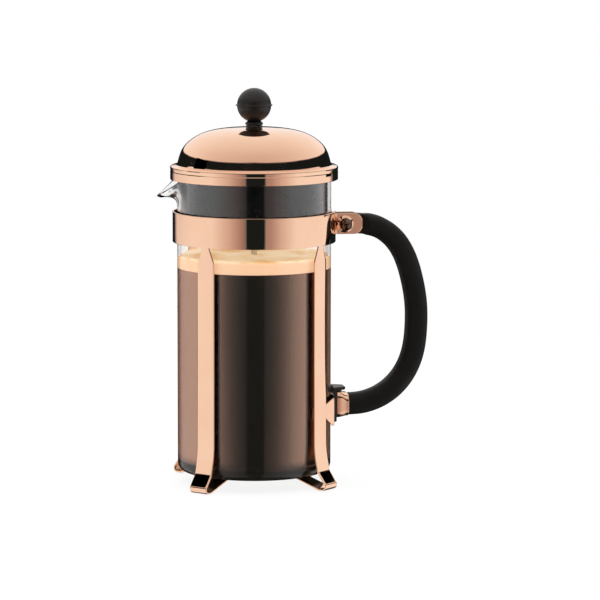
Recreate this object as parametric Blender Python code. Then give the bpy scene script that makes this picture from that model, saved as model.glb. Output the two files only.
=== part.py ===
"""Coffee press: glass beaker in a clamped sheet-metal frame, domed lid and plunger.

Metres, +Z up. The beaker's axis is Z, the handle points to +X and the spout to -X.
The feet stand on z = 0. The plunger is all the way down.
"""
import math

import bmesh
import bpy
import numpy as np

MM = 0.001

# Clearances
SEAT_GAP = 0.30 * MM        # between pieces that rest on or are clamped to each other
RUN_GAP = 0.20 * MM         # radial, between pieces that turn or slide in each other
THREAD_GAP = 0.15 * MM      # radial, between a screwed piece and its hole
LINER_GAP = 0.35 * MM       # radial, lid liner inside the glass
FILTER_GAP = 0.35 * MM      # radial, filter edge inside the glass

# Glass beaker
GLASS_R = 48.0 * MM
GLASS_WALL = 1.8 * MM
GLASS_FLOOR = 2.2 * MM
GLASS_CORNER = 11.0 * MM
GLASS_PUNT = 0.8 * MM       # how far the middle of the floor stands up
GLASS_RIM_Z = 195.5 * MM
SPOUT_HALF_ANGLE = math.radians(19.0)
SPOUT_ROOT_Z = GLASS_RIM_Z - 23.5 * MM
SPOUT_TIP = (GLASS_R + 13.0 * MM, GLASS_RIM_Z - 14.9 * MM)

# Frame: one sheet, a band with four legs that fold back under the glass
SHEET = 1.0 * MM
BAND_GAP = 1.9 * MM         # between the glass and the band
BAND_HEIGHT = 19.1 * MM
BAND_R = GLASS_R + BAND_GAP + SHEET
BAND_TOP_Z = GLASS_RIM_Z - 24.9 * MM
BAND_LOW_Z = BAND_TOP_Z - BAND_HEIGHT
LEG_ANGLES = [math.radians(a) for a in (45.0, 135.0, 225.0, 315.0)]
LEG_WIDTH = 12.5 * MM
NECK_WIDTH = 4.7 * MM
NECK_LENGTH = 10.0 * MM
FOOT_TOP_Z = 24.0 * MM      # here the leg starts to lean outwards
FOOT_KINK = (BAND_R + 2.6 * MM, 11.5 * MM)
ROLL_R = 2.9 * MM
ROLL_CENTRE = BAND_R + 4.2 * MM
STRAP_RISE = GLASS_R - 13.0 * MM     # radius at which the strap under the glass turns level
STRAP_END = LEG_WIDTH / 2 + 1.75 * MM
STAND_Z = 7.0 * MM          # top face of the straps, where the glass stands
FOOT_FLAT = 2.2 * MM        # length of the flat that each foot stands on

# Clamp joint at the top of the handle
LUG_WIDTH = 9.8 * MM
EAR_LOW_Z = BAND_LOW_Z + 4.1 * MM
EAR_TOP_Z = BAND_TOP_Z - 2.0 * MM
EAR_END = BAND_R + 16.7 * MM
EAR_CORNER = 5.0 * MM
EAR_BEND = 0.9 * MM
LUG_HEIGHT = EAR_TOP_Z - EAR_LOW_Z - 2 * SEAT_GAP
SCREW_X = BAND_R + 5.5 * MM
SCREW_Z = EAR_LOW_Z + 6.4 * MM
SCREW_R = 2.0 * MM
SCREW_HEAD_R = 3.9 * MM
NUT_FLATS = 7.6 * MM
CUP_R = 5.4 * MM

# Plate that joins the four straps under the glass
BASE_R = 18.0 * MM
RIVET_PITCH_R = STRAP_END + 4.5 * MM
RIVET_R = 1.6 * MM

# Lower joint of the handle
BRACKET_R = BAND_R - SHEET - SEAT_GAP
BRACKET_T = 0.8 * MM
BRACKET_REACH = math.radians(50.0)
GRIP_LOW_Z = 47.5 * MM      # the handle's middle line where it enters the collar
HANDLE_WIDTH = 16.0 * MM
HANDLE_DEPTH = 13.6 * MM
FOOT_FACE = BRACKET_R + 1.6 * MM
COLLAR_END = FOOT_FACE + 8.0 * MM
COLLAR_T = 1.0 * MM
# the collar's half width, half height and corner at the grip, and what its wide end adds
COLLAR_NECK = (HANDLE_WIDTH / 2 + 0.4 * MM, HANDLE_DEPTH / 2 + 0.3 * MM, 5.0 * MM)
COLLAR_FLARE = (0.6 * MM, 1.65 * MM)
COLLAR_LIFT = 0.75 * MM
TANG = (4.0 * MM, 1.0 * MM, COLLAR_END + 3.8 * MM)   # half width, half thickness, far end
TANG_Z = GRIP_LOW_Z + 0.1 * MM
# the grip's middle line: outside the band's radius and above the collar, drawn for this span
GRIP_LINE = [(1.7, 114.6), (16.5, 114.1), (25.1, 112.6), (32.5, 108.9), (39.7, 102.1),
             (45.3, 92.3), (49.5, 79.0), (52.3, 62.3), (52.4, 47.5), (50.5, 32.7), (45.5, 20.1),
             (37.1, 9.9), (26.1, 3.1), (15.9, 0.4)]
GRIP_LINE_SPAN = 114.5 * MM
GRIP_STEP = 5.19 * MM        # between the sections along the grip

# Lid
RIM_R = GLASS_R + 4.4 * MM
RIM_LOW_Z = GLASS_RIM_Z - 5.0 * MM
RIM_TOP_Z = GLASS_RIM_Z + 3.7 * MM
LID_T = 0.8 * MM
DOME_R = RIM_R - 4.5 * MM
DOME_HEIGHT = 23.55 * MM
DOME_TOP_Z = RIM_TOP_Z + DOME_HEIGHT
# the dome's outline, radius and height as shares of the two sizes above
DOME = [(4.2 / 47.9, 1.0), (14.1 / 47.9, 23.15 / 23.55), (25.2 / 47.9, 21.8 / 23.55),
        (33.2 / 47.9, 19.4 / 23.55), (40.4 / 47.9, 15.0 / 23.55), (44.2 / 47.9, 11.0 / 23.55),
        (46.3 / 47.9, 6.7 / 23.55), (47.5 / 47.9, 2.6 / 23.55), (1.0, 0.7 / 23.55)]
LINER_T = 1.5 * MM
LINER_LOW_Z = GLASS_RIM_Z - 35.5 * MM
LINER_TOP_Z = RIM_TOP_Z - LID_T - RUN_GAP
FLANGE_T = 1.6 * MM

# Plunger, at the bottom of its travel
ROD_R = 2.0 * MM
BUSH_R = ROD_R + 2.0 * MM
BUSH_LIP = 0.8 * MM         # height of the bush above the dome
KNOB_R = 10.65 * MM
KNOB_FOOT_Z = DOME_TOP_Z + BUSH_LIP + 2 * SEAT_GAP
KNOB_Z = KNOB_FOOT_Z + KNOB_R + 1.7 * MM
INSERT_R = ROD_R + 1.2 * MM
# underside of the cross plate, just above the rounded corner inside the glass
PLATE_Z = STAND_Z + SEAT_GAP + GLASS_FLOOR + (GLASS_CORNER - GLASS_WALL) + 1.3 * MM
HUB_Z = PLATE_Z - 4.4 * MM
ROD_LOW_Z = HUB_Z + 0.8 * MM
PLATE_T = 1.2 * MM
MESH_T = 0.4 * MM
DISC_T = 0.8 * MM
COIL_R = 1.5 * MM
NUT_R = ROD_R + 3.0 * MM

AROUND = 56                 # facets of the large round pieces


def clear_scene():
    for obj in list(bpy.data.objects):
        bpy.data.objects.remove(obj, do_unlink=True)


def make_material(name, colour, metallic, roughness, transmission=0.0):
    mat = bpy.data.materials.new(name)
    mat.use_nodes = True
    shader = mat.node_tree.nodes["Principled BSDF"]
    shader.inputs["Base Color"].default_value = (*colour, 1.0)
    shader.inputs["Metallic"].default_value = metallic
    shader.inputs["Roughness"].default_value = roughness
    shader.inputs["Transmission Weight"].default_value = transmission
    mat.diffuse_color = (*colour, 1.0)
    return mat


def make_object(name, verts, faces, look):
    """One closed body from its points and faces, with its own material."""
    mesh = bpy.data.meshes.new(name)
    mesh.from_pydata([tuple(map(float, v)) for v in verts], [], [list(map(int, f)) for f in faces])
    bm = bmesh.new()
    bm.from_mesh(mesh)
    bmesh.ops.recalc_face_normals(bm, faces=bm.faces)
    bm.to_mesh(mesh)
    bm.free()
    mesh.shade_smooth()
    mesh.set_sharp_from_angle(angle=math.radians(32.0))
    mesh.materials.append(make_material(name, *look))
    obj = bpy.data.objects.new(name, mesh)
    bpy.context.collection.objects.link(obj)
    return obj


def cut(obj, cutters):
    """Takes each cutter out of the object."""
    for cutter in cutters:
        mod = obj.modifiers.new("cut_" + cutter.name, "BOOLEAN")
        mod.operation = "DIFFERENCE"
        mod.object = cutter


def make_cutter(name, verts, faces):
    obj = make_object(name, verts, faces, ((1, 0, 0), 0.0, 0.5))
    obj.hide_render = True
    obj.display_type = "WIRE"
    return obj


def turned(profile, segments=AROUND, hexagon=None):
    """Points and faces of a profile (r, z) turned about Z. Ends with r = 0 close on the axis.

    Rows wider than the hexagon's half width across flats follow the hexagon instead.
    """
    angles = 2 * math.pi * np.arange(segments) / segments
    verts, rings = [], []
    for r, z in profile:
        if r == 0.0:
            rings.append([len(verts)] * segments)
            verts.append((0.0, 0.0, z))
            continue
        rings.append(list(range(len(verts), len(verts) + segments)))
        reach = np.full(segments, r)
        if hexagon and r > hexagon:
            reach = hexagon / np.cos((angles + math.pi / 6) % (math.pi / 3) - math.pi / 6)
        verts.extend((w * math.cos(a), w * math.sin(a), z) for w, a in zip(reach, angles))
    if profile[0][0] != 0.0:
        rings.append(rings[0])
    faces = []
    for low, high in zip(rings, rings[1:]):
        for i in range(segments):
            j = (i + 1) % segments
            quad = list(dict.fromkeys((low[i], low[j], high[j], high[i])))
            if len(quad) > 2:
                faces.append(quad)
    return verts, faces


def moved(points, x=0.0, y=0.0, z=0.0):
    return [(p[0] + x, p[1] + y, p[2] + z) for p in points]


def along_y(points):
    """Turns points made about Z so that their axis runs along Y (+Z goes to +Y)."""
    return [(p[0], p[2], -p[1]) for p in points]


def merged(shapes):
    """Several closed shapes as one list of points and faces."""
    verts, faces = [], []
    for part_verts, part_faces in shapes:
        faces.extend([i + len(verts) for i in face] for face in part_faces)
        verts.extend(part_verts)
    return verts, faces


def thickened(outer, inner, faces):
    """A sheet as a closed body: both faces, and walls along every free edge."""
    count = len(outer)
    body = [list(f) for f in faces] + [[i + count for i in reversed(f)] for f in faces]
    used = {}
    for face in faces:
        for a, b in zip(face, face[1:] + face[:1]):
            used[(a, b)] = True
    for a, b in used:
        if (b, a) not in used:
            body.append([b, a, a + count, b + count])
    return list(outer) + list(inner), body


def lofted(sections):
    """Closed body through sections with the same number of points."""
    count = len(sections[0])
    verts = [p for section in sections for p in section]
    faces = [list(range(count))[::-1], [i + (len(sections) - 1) * count for i in range(count)]]
    for k in range(len(sections) - 1):
        for i in range(count):
            j = (i + 1) % count
            faces.append([k * count + i, k * count + j, (k + 1) * count + j, (k + 1) * count + i])
    return verts, faces


def offset_profile(profile, thickness):
    """The profile moved to its right-hand side by the thickness."""
    points = np.array(profile, dtype=float)
    step = np.gradient(points, axis=0)
    step /= np.linalg.norm(step, axis=1)[:, None]
    return [tuple(p) for p in points + thickness * np.stack([step[:, 1], -step[:, 0]], axis=1)]


def arc(centre, radius, start, end, steps):
    """Points of an arc in a plane; angles in degrees."""
    angles = np.radians(np.linspace(start, end, steps + 1))
    return [(centre[0] + radius * math.cos(a), centre[1] + radius * math.sin(a)) for a in angles]


def spline(points, samples):
    """Catmull-Rom curve through points, evenly sampled by length."""
    pts = np.array(points, dtype=float)
    pts = np.vstack([2 * pts[0] - pts[1], pts, 2 * pts[-1] - pts[-2]])
    dense = []
    for k in range(1, len(pts) - 2):
        for t in np.linspace(0, 1, 24, endpoint=False):
            a, b, c, d = pts[k - 1:k + 3]
            dense.append(0.5 * (2 * b + (c - a) * t + (2 * a - 5 * b + 4 * c - d) * t ** 2
                                + (3 * b - a - 3 * c + d) * t ** 3))
    dense = np.array(dense + [pts[-2]])
    length = np.r_[0, np.cumsum(np.linalg.norm(np.diff(dense, axis=0), axis=1))]
    even = np.linspace(0, length[-1], samples)
    return np.stack([np.interp(even, length, dense[:, i]) for i in range(2)], axis=1)


def rounded_box(half_w, half_h, corner, per_corner=4):
    """Outline of a rounded rectangle, counter-clockwise."""
    points = []
    for cx, cy, start in ((1, 1, 0), (-1, 1, 90), (-1, -1, 180), (1, -1, 270)):
        centre = (cx * (half_w - corner), cy * (half_h - corner))
        points.extend(arc(centre, corner, start, start + 90, per_corner))
    return points


# ---------------------------------------------------------------- frame

def leg_path():
    """Outer face of a leg as (radius, height, blend), from the band down to the strap's end."""
    # the roll touches the floor; both straight runs are tangent to it
    kink, centre = np.array(FOOT_KINK), np.array([ROLL_CENTRE, ROLL_R])
    low = np.array([STRAP_RISE, STAND_Z - SHEET])

    def tangent(point, side):
        back = point - centre - (-side * FOOT_FLAT / 2, 0.0)
        reach = math.atan2(back[1], back[0])
        return reach + side * math.acos(ROLL_R / np.linalg.norm(back))

    first, last = tangent(kink, -1), tangent(low, 1)
    last -= 2 * math.pi if last > first else 0.0
    roll = [centre + (FOOT_FLAT / 2, 0.0) + ROLL_R * np.array([math.cos(a), math.sin(a)])
            for a in np.linspace(first, -math.pi / 2, 6)]
    roll += [centre - (FOOT_FLAT / 2, 0.0) + ROLL_R * np.array([math.cos(a), math.sin(a)])
             for a in np.linspace(-math.pi / 2, last, 4)]
    path = [(BAND_R, BAND_LOW_Z), (BAND_R, BAND_LOW_Z - NECK_LENGTH), (BAND_R, 80 * MM),
            (BAND_R, FOOT_TOP_Z + 6 * MM), (BAND_R + 0.15 * MM, FOOT_TOP_Z),
            (BAND_R + 0.9 * MM, FOOT_TOP_Z - 5 * MM), tuple(kink + (-0.35 * MM, 1.2 * MM)),
            tuple(kink + (0.55 * MM, -0.9 * MM))]
    path += [tuple(p) for p in roll]
    path += [(STRAP_RISE + 1.5 * MM, low[1] - 0.55 * MM), (STRAP_RISE - 1.5 * MM, low[1]),
             (STRAP_END, low[1])]
    return np.array(path)


def leg_sheet(angle):
    """Outer and inner points of one leg below its neck, rows of five."""
    path = leg_path()
    step = np.gradient(path, axis=0)
    step /= np.linalg.norm(step, axis=1)[:, None]
    outward = np.stack([-step[:, 1], step[:, 0]], axis=1)
    half = np.full(len(path), LEG_WIDTH / 2)
    half[0] = NECK_WIDTH / 2
    curl = np.clip((path[:, 1] - 20 * MM) / (60 * MM), 0.0, 1.0)
    curl[path[:, 0] > BAND_R + 0.1 * MM] = 0.0
    curl[path[:, 0] < BAND_R - 0.1 * MM] = 0.0
    outer, inner = [], []
    across = np.linspace(-1.0, 1.0, 5)
    radial = np.array([math.cos(angle), math.sin(angle), 0.0])
    side = np.array([-math.sin(angle), math.cos(angle), 0.0])
    up = np.array([0.0, 0.0, 1.0])
    for (r, z), (nr, nz), w, bend in zip(path, outward, half, curl):
        kappa = max(bend, 1e-6) / BAND_R
        for share in across:
            turn = kappa * w * share
            point = (radial * (r - (1 - math.cos(turn)) / kappa)
                     + side * (math.sin(turn) / kappa) + up * z)
            normal = nr * (radial * math.cos(turn) + side * math.sin(turn)) + nz * up
            outer.append(point)
            inner.append(point - normal * SHEET)
    return outer, inner


def ear_face_y():
    return LUG_WIDTH / 2 + SEAT_GAP + SHEET


def band_columns():
    """Angles of the band's columns from one ear to the other, and the first column of each neck."""
    start = math.asin((ear_face_y() + EAR_BEND) / (BAND_R + EAR_BEND))
    neck = NECK_WIDTH / 2 / BAND_R
    edges, columns = [start], []
    corner = [start + d * MM / BAND_R for d in (0.25, 0.9, 2.2)]
    for angle in LEG_ANGLES:
        edges += [angle - neck, angle + neck]
    edges.append(2 * math.pi - start)
    for k, (a, b) in enumerate(zip(edges, edges[1:])):
        if k % 2:
            columns += list(np.linspace(a, b, 5)[:-1])
        else:
            steps = max(2, round((b - a) / math.radians(6.0)))
            columns += list(np.linspace(a, b, steps + 1)[:-1])
    columns.append(edges[-1])
    columns = [columns[0]] + corner + [c for c in columns[1:-1]
                                       if corner[-1] < c < 2 * math.pi - corner[-1]]
    columns += [2 * math.pi - c for c in reversed(corner)] + [2 * math.pi - start]
    necks = [int(np.argmin([abs(c - (a - neck)) for c in columns])) for a in LEG_ANGLES]
    return columns, necks


def frame_shell(cutters):
    """Band, ears and four legs as one sheet."""
    columns, necks = band_columns()
    start = columns[0]
    outer, inner, faces = [], [], []
    for a in columns:
        away = min(a, 2 * math.pi - a) * BAND_R - start * BAND_R
        round_low = 2.2 * MM - math.sqrt(max(0.0, (2.2 * MM) ** 2 - max(0.0, 2.2 * MM - away) ** 2))
        rows = (BAND_LOW_Z + round_low, EAR_LOW_Z, EAR_TOP_Z, BAND_TOP_Z - 0.5 * round_low)
        for z in rows:
            outer.append((BAND_R * math.cos(a), BAND_R * math.sin(a), z))
            inner.append(((BAND_R - SHEET) * math.cos(a), (BAND_R - SHEET) * math.sin(a), z))
    for i in range(len(columns) - 1):
        for k in range(3):
            faces.append([4 * i + k, 4 * i + 4 + k, 4 * i + 5 + k, 4 * i + 1 + k])
    for angle, first in zip(LEG_ANGLES, necks):
        leg_outer, leg_inner = leg_sheet(angle)
        base = len(outer)
        grid = [[4 * (first + j) for j in range(5)]]
        grid += [[base + 5 * i + j for j in range(5)] for i in range(len(leg_outer) // 5 - 1)]
        outer.extend(leg_outer[5:])
        inner.extend(leg_inner[5:])
        for top, low in zip(grid, grid[1:]):
            for j in range(4):
                faces.append([low[j], low[j + 1], top[j + 1], top[j]])
    for side, column in ((1, 0), (-1, len(columns) - 1)):
        ear_outer, ear_inner, ear_faces = ear_sheet(side, start)
        known = {0: 4 * column + 1, 1: 4 * column + 2}
        base = len(outer) - 2
        outer.extend(ear_outer[2:])
        inner.extend(ear_inner[2:])
        for face in ear_faces:
            faces.append([known.get(i, i + base) for i in face])
    verts, body = thickened(outer, inner, faces)
    obj = make_object("frame_shell", verts, body, ((0.86, 0.52, 0.38), 1.0, 0.1))
    cut(obj, cutters)


def ear_sheet(side, start):
    """Fold and flat of one ear; points 0 and 1 are the band's end."""
    centre = (BAND_R + EAR_BEND) * np.array([math.cos(start), math.sin(start)])
    outer, inner, faces = [], [], []
    for a in np.linspace(start, math.pi / 2, 5):
        normal = np.array([math.cos(a), math.sin(a)])
        near, far = centre - EAR_BEND * normal, centre - (EAR_BEND + SHEET) * normal
        for z in (EAR_LOW_Z, EAR_TOP_Z):
            outer.append((near[0], side * near[1], z))
            inner.append((far[0], side * far[1], z))
    for k in range(4):
        face = [2 * k, 2 * k + 1, 2 * k + 3, 2 * k + 2]
        faces.append(face if side > 0 else face[::-1])
    end = len(outer)
    outline = arc((EAR_END - EAR_CORNER, EAR_LOW_Z + EAR_CORNER), EAR_CORNER, -90, 0, 6)
    outline += arc((EAR_END - EAR_CORNER, EAR_TOP_Z - EAR_CORNER), EAR_CORNER, 0, 90, 6)
    near_y, far_y = ear_face_y(), ear_face_y() - SHEET
    for x, z in outline:
        outer.append((x, side * near_y, z))
        inner.append((x, side * far_y, z))
    face = [end - 2, end - 1] + list(range(end + len(outline) - 1, end - 1, -1))
    faces.append(face if side > 0 else face[::-1])
    return outer, inner, faces


def screw_cutter():
    hole = [(0.0, -20 * MM), (SCREW_R + THREAD_GAP, -20 * MM), (SCREW_R + THREAD_GAP, 20 * MM),
            (0.0, 20 * MM)]
    verts, faces = turned(hole, 20)
    return make_cutter("cut_screw", moved(along_y(verts), SCREW_X, 0.0, SCREW_Z), faces)


def rivet_spots():
    return [(RIVET_PITCH_R * math.cos(a), RIVET_PITCH_R * math.sin(a)) for a in LEG_ANGLES]


def rivet_cutter():
    r = RIVET_R + THREAD_GAP
    hole = [(0.0, 2 * MM), (r, 2 * MM), (r, 10 * MM), (0.0, 10 * MM)]
    shapes = []
    for x, y in rivet_spots():
        verts, faces = turned(hole, 16)
        shapes.append((moved(verts, x, y), faces))
    return make_cutter("cut_rivets", *merged(shapes))


def base_plate(cutters):
    """Round plate under the straps' ends."""
    top = STAND_Z - SHEET - SEAT_GAP
    low = top - SHEET
    verts, faces = turned([(3.0 * MM, low), (BASE_R, low), (BASE_R, top), (3.0 * MM, top)], 40)
    obj = make_object("base_plate", verts, faces, ((0.86, 0.52, 0.38), 1.0, 0.15))
    cut(obj, cutters)


def base_rivets():
    """One rivet through each strap and the plate, flush on top, domed head below."""
    low = STAND_Z - 2 * SHEET - 2 * SEAT_GAP
    top = STAND_Z
    profile = [(0.0, low - 1.2 * MM), (1.8 * MM, low - 0.95 * MM), (2.9 * MM, low - 0.2 * MM),
               (2.9 * MM, low), (RIVET_R, low), (RIVET_R, top), (0.0, top)]
    for number, (x, y) in enumerate(rivet_spots(), 1):
        verts, faces = turned(profile, 16)
        make_object("base_rivet_%d" % number, moved(verts, x, y), faces,
                    ((0.86, 0.52, 0.38), 1.0, 0.2))


# ---------------------------------------------------------------- lower handle joint

def bracket():
    """Strap welded inside the two rear legs, wide in the middle, with a tang for the handle."""
    tang_half, tang_t, tang_end = TANG
    edge = math.asin(tang_half / BRACKET_R)
    right = [edge, 0.13, 0.25, 0.34, 0.44, 0.55, 0.66, 0.74, BRACKET_REACH]
    angles = [-a for a in reversed(right)] + [0.0] + right
    outer, inner, faces = [], [], []
    for a in angles:
        share = min(1.0, max(0.0, (abs(a) * BRACKET_R - 14 * MM) / (18 * MM)))
        middle, half = GRIP_LOW_Z - (1.6 - 1.9 * share) * MM, (8.8 - 5.6 * share) * MM
        rows = (middle - half, TANG_Z - tang_t, TANG_Z + tang_t, middle + half)
        for z in rows:
            outer.append((BRACKET_R * math.cos(a), BRACKET_R * math.sin(a), z))
            r = BRACKET_R - BRACKET_T
            inner.append((r * math.cos(a), r * math.sin(a), z))
    for i in range(len(angles) - 1):
        for k in range(3):
            faces.append([4 * i + k, 4 * i + 4 + k, 4 * i + 5 + k, 4 * i + 1 + k])
    verts, body = thickened(outer, inner, faces)
    first = angles.index(0.0)
    drawn = [3 * (first - 1) + 1, 3 * first + 1]
    ring = [4 * (first - 1) + 1, 4 * first + 1, 4 * (first + 1) + 1,
            4 * (first + 1) + 2, 4 * first + 2, 4 * (first - 1) + 2]
    body = [f for i, f in enumerate(body) if i not in drawn]
    base = len(verts)
    verts += [(tang_end, verts[i][1], verts[i][2]) for i in ring]
    for k in range(6):
        j = (k + 1) % 6
        body.append([ring[k], ring[j], base + j, base + k])
    body.append([base, base + 1, base + 2, base + 3, base + 4, base + 5])
    make_object("handle_bracket", verts, body, ((0.86, 0.52, 0.38), 1.0, 0.12))


def tang_cutter():
    """The tang's own shape with a seating gap, for the slots it goes through."""
    half_w, half_t = TANG[0] + SEAT_GAP, TANG[1] + THREAD_GAP
    box = [(y, z) for y, z in ((-half_w, -half_t), (half_w, -half_t), (half_w, half_t),
                               (-half_w, half_t))]
    sections = [[(x, y, z + TANG_Z) for y, z in box] for x in (BRACKET_R - 4 * MM,
                                                                    TANG[2] + 1.0 * MM)]
    return make_cutter("cut_tang", *lofted(sections))


def handle_foot(cutters):
    """Plastic block between the bracket and the collar, with a lip over the collar."""
    face, back, low = FOOT_FACE, BRACKET_R + SEAT_GAP, GRIP_LOW_Z - 10.3 * MM
    under = GRIP_LOW_Z + COLLAR_LIFT + COLLAR_NECK[1] + COLLAR_FLARE[1] + 0.5 * MM
    top = under + 1.5 * MM
    sections = []
    for share in (-1.0, -0.86, -0.5, 0.0, 0.5, 0.86, 1.0):
        y = (COLLAR_NECK[0] + 0.2 * MM) * share
        trim = 1.6 * MM if abs(share) == 1.0 else 0.0
        near = math.sqrt(back ** 2 - y ** 2)
        lip = face + (6.2 * MM if abs(share) < 0.9 else 5.0 * MM)
        outline = [(near, low + trim), (face, low + trim), (face, under), (lip, under),
                   (lip, top - 0.5 * trim), (near, top - 0.5 * trim)]
        sections.append([(x, y, z) for x, z in outline])
    obj = make_object("handle_foot", *lofted(sections), ((0.02, 0.02, 0.02), 0.0, 0.45))
    cut(obj, cutters)


def collar_sections(inset):
    """Outer outline of the collar at its two ends, less the inset: wide at the foot."""
    left, right = FOOT_FACE + SEAT_GAP, COLLAR_END
    half_w, half_h, corner = COLLAR_NECK
    sections = []
    for x, flare in ((left, 1.0), (left + 1.2 * MM, 0.95), (right - 1.0 * MM, 0.08), (right, 0.0)):
        outline = rounded_box(half_w + COLLAR_FLARE[0] * flare - inset,
                              half_h + COLLAR_FLARE[1] * flare - inset, corner - inset)
        sections.append([(x, y, z + GRIP_LOW_Z + COLLAR_LIFT * flare) for y, z in outline])
    return sections


def handle_collar():
    """Sheet-metal ferrule round the handle's lower end."""
    outer, inner = collar_sections(0.0), collar_sections(COLLAR_T)
    count = len(outer[0])
    loop = outer + inner[::-1]
    verts = [p for section in loop for p in section]
    faces = []
    for k in range(len(loop)):
        m = (k + 1) % len(loop)
        for i in range(count):
            j = (i + 1) % count
            faces.append([k * count + i, k * count + j, m * count + j, m * count + i])
    make_object("handle_collar", verts, faces, ((0.86, 0.52, 0.38), 1.0, 0.12))


def handle(cutters):
    """Bent plastic grip: a flat lug between the ears, a spigot through the collar."""
    # a taller or lower grip changes between its ends; both ends keep their shape
    excess = SCREW_Z - GRIP_LOW_Z - GRIP_LINE_SPAN
    points = [(BAND_R + x * MM, GRIP_LOW_Z + z * MM + excess * min(1.0, max(0.0, (z - 20) / 80)))
              for x, z in GRIP_LINE]
    points.append((COLLAR_END + 0.2 * MM, GRIP_LOW_Z))
    run = sum(math.dist(a, b) for a, b in zip(points, points[1:]))
    line = spline(points, 1 + round(run / GRIP_STEP))
    half_way = (SCREW_Z + GRIP_LOW_Z) / 2
    step = np.gradient(line, axis=0)
    step /= np.linalg.norm(step, axis=1)[:, None]
    sections = []
    for (x, z), (dx, dz) in zip(line, step):
        grip = min(1.0, max(0.0, (x - EAR_END - 0.6 * MM) / (4.5 * MM))) if z > half_way else 1.0
        half_w = (LUG_WIDTH + (HANDLE_WIDTH - LUG_WIDTH) * grip) / 2
        half_h = (LUG_HEIGHT + (HANDLE_DEPTH - LUG_HEIGHT) * grip) / 2
        corner = (1.2 + 4.6 * grip) * MM
        outline = rounded_box(half_w, half_h, min(corner, half_h - 0.4 * MM), 3)
        sections.append([(x - h * dz, y, z + h * dx) for y, h in outline])
    spigot_left, spigot_right = FOOT_FACE + 2 * SEAT_GAP, COLLAR_END + SEAT_GAP
    sections.pop()
    for x, trim in ((spigot_right, False), (spigot_right, True), (spigot_left, True)):
        outline = rounded_box(HANDLE_WIDTH / 2, HANDLE_DEPTH / 2, 5.8 * MM, 3)
        if trim:
            inset = COLLAR_T + SEAT_GAP
            outline = rounded_box(*(size - inset for size in COLLAR_NECK), 3)
        sections.append([(x, y, GRIP_LOW_Z - h) for y, h in outline])
    obj = make_object("handle", *lofted(sections), ((0.02, 0.02, 0.02), 0.0, 0.5))
    cut(obj, cutters)


# ---------------------------------------------------------------- clamp fasteners

def clamp_screw():
    """Round-headed screw through both ears and the lug, head on the +Y side."""
    head = ear_face_y() + SEAT_GAP
    tip = -(ear_face_y() + 6.6 * MM)
    profile = [(0.0, tip), (SCREW_R - 0.4 * MM, tip), (SCREW_R, tip + 0.5 * MM), (SCREW_R, head),
               (SCREW_HEAD_R, head), (SCREW_HEAD_R, head + 0.9 * MM)]
    profile += arc((SCREW_HEAD_R - 2.0 * MM, head + 0.9 * MM), 2.0 * MM, 20, 80, 3)
    profile.append((0.0, profile[-1][1] + 0.1 * MM))
    verts, faces = turned(profile, 24)
    make_object("clamp_screw", moved(along_y(verts), SCREW_X, 0.0, SCREW_Z), faces,
                ((0.86, 0.52, 0.38), 1.0, 0.2))


def cup_washer():
    """Dished washer under the cap nut."""
    face = -(ear_face_y() + SEAT_GAP)
    bore = SCREW_R + 0.25 * MM
    profile = [(bore, -1.6), (bore, -0.9), (SCREW_R + 1.4 * MM, -0.9), (CUP_R - 0.5 * MM, 0.0),
               (CUP_R, 0.0), (CUP_R, -0.5), (SCREW_R + 1.6 * MM, -1.6)]
    profile = [(r, face + z * MM) for r, z in profile]
    verts, faces = turned(profile, 32)
    make_object("clamp_washer", moved(along_y(verts), SCREW_X, 0.0, SCREW_Z), faces,
                ((0.86, 0.52, 0.38), 1.0, 0.15))


def cap_nut():
    """Six-sided nut with a domed, closed end."""
    seat = -(ear_face_y() + 2 * SEAT_GAP + 1.6 * MM)
    bore, flat = SCREW_R + THREAD_GAP, NUT_FLATS / 2
    corner = 1.1 * flat
    profile = [(0.0, -6.8), (0.36 * flat, -6.5), (0.66 * flat, -5.7), (0.86 * flat, -4.5),
               (0.9 * flat, -3.5), (flat, -3.3), (corner, -2.9), (corner, -0.35), (0.98 * flat, 0.0),
               (bore, 0.0), (bore, -5.3), (0.0, -5.3)]
    profile = [(r, seat + z * MM) for r, z in profile]
    verts, faces = turned(profile, 24, hexagon=flat)
    make_object("clamp_nut", moved(along_y(verts), SCREW_X, 0.0, SCREW_Z), faces,
                ((0.86, 0.52, 0.38), 1.0, 0.12))


# ---------------------------------------------------------------- beaker

def beaker_profiles():
    """Rows (radius, height) of the outer and inner wall, plain and at the spout's middle."""
    floor = STAND_Z + SEAT_GAP
    inside = floor + GLASS_FLOOR
    inner_r, inner_c = GLASS_R - GLASS_WALL, GLASS_CORNER - GLASS_WALL
    out_low = [(14 * MM, floor + 0.7 * GLASS_PUNT), (GLASS_R - GLASS_CORNER, floor)]
    out_low += arc((GLASS_R - GLASS_CORNER, floor + GLASS_CORNER), GLASS_CORNER, -72, 0, 4)
    in_low = [(14 * MM, inside + 0.7 * GLASS_PUNT), (inner_r - inner_c, inside)]
    in_low += arc((inner_r - inner_c, inside + inner_c), inner_c, -68, 0, 3)
    heights = np.linspace(SPOUT_ROOT_Z, GLASS_RIM_Z, 7)
    tip_r, tip_z = SPOUT_TIP
    outer = [(GLASS_R, z) for z in heights]
    inner = [(inner_r, z) for z in heights]
    spout_out = [(GLASS_R + r * MM, SPOUT_ROOT_Z + z * MM) for r, z in
                 ((0.0, 0.0), (0.5, 3.6), (2.0, 6.4), (5.0, 7.7), (8.2, 7.9), (11.2, 7.8))]
    spout_in = [(inner_r + r * MM, SPOUT_ROOT_Z + z * MM) for r, z in
                ((0.0, 1.0), (0.6, 5.2), (2.6, 8.4), (6.0, 9.5), (9.4, 9.6), (12.0, 9.7))]
    spout_out.append((tip_r, tip_z))
    spout_in.append((tip_r - 1.0 * MM, tip_z + 1.2 * MM))
    return out_low, outer, spout_out, in_low, inner, spout_in


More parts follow.
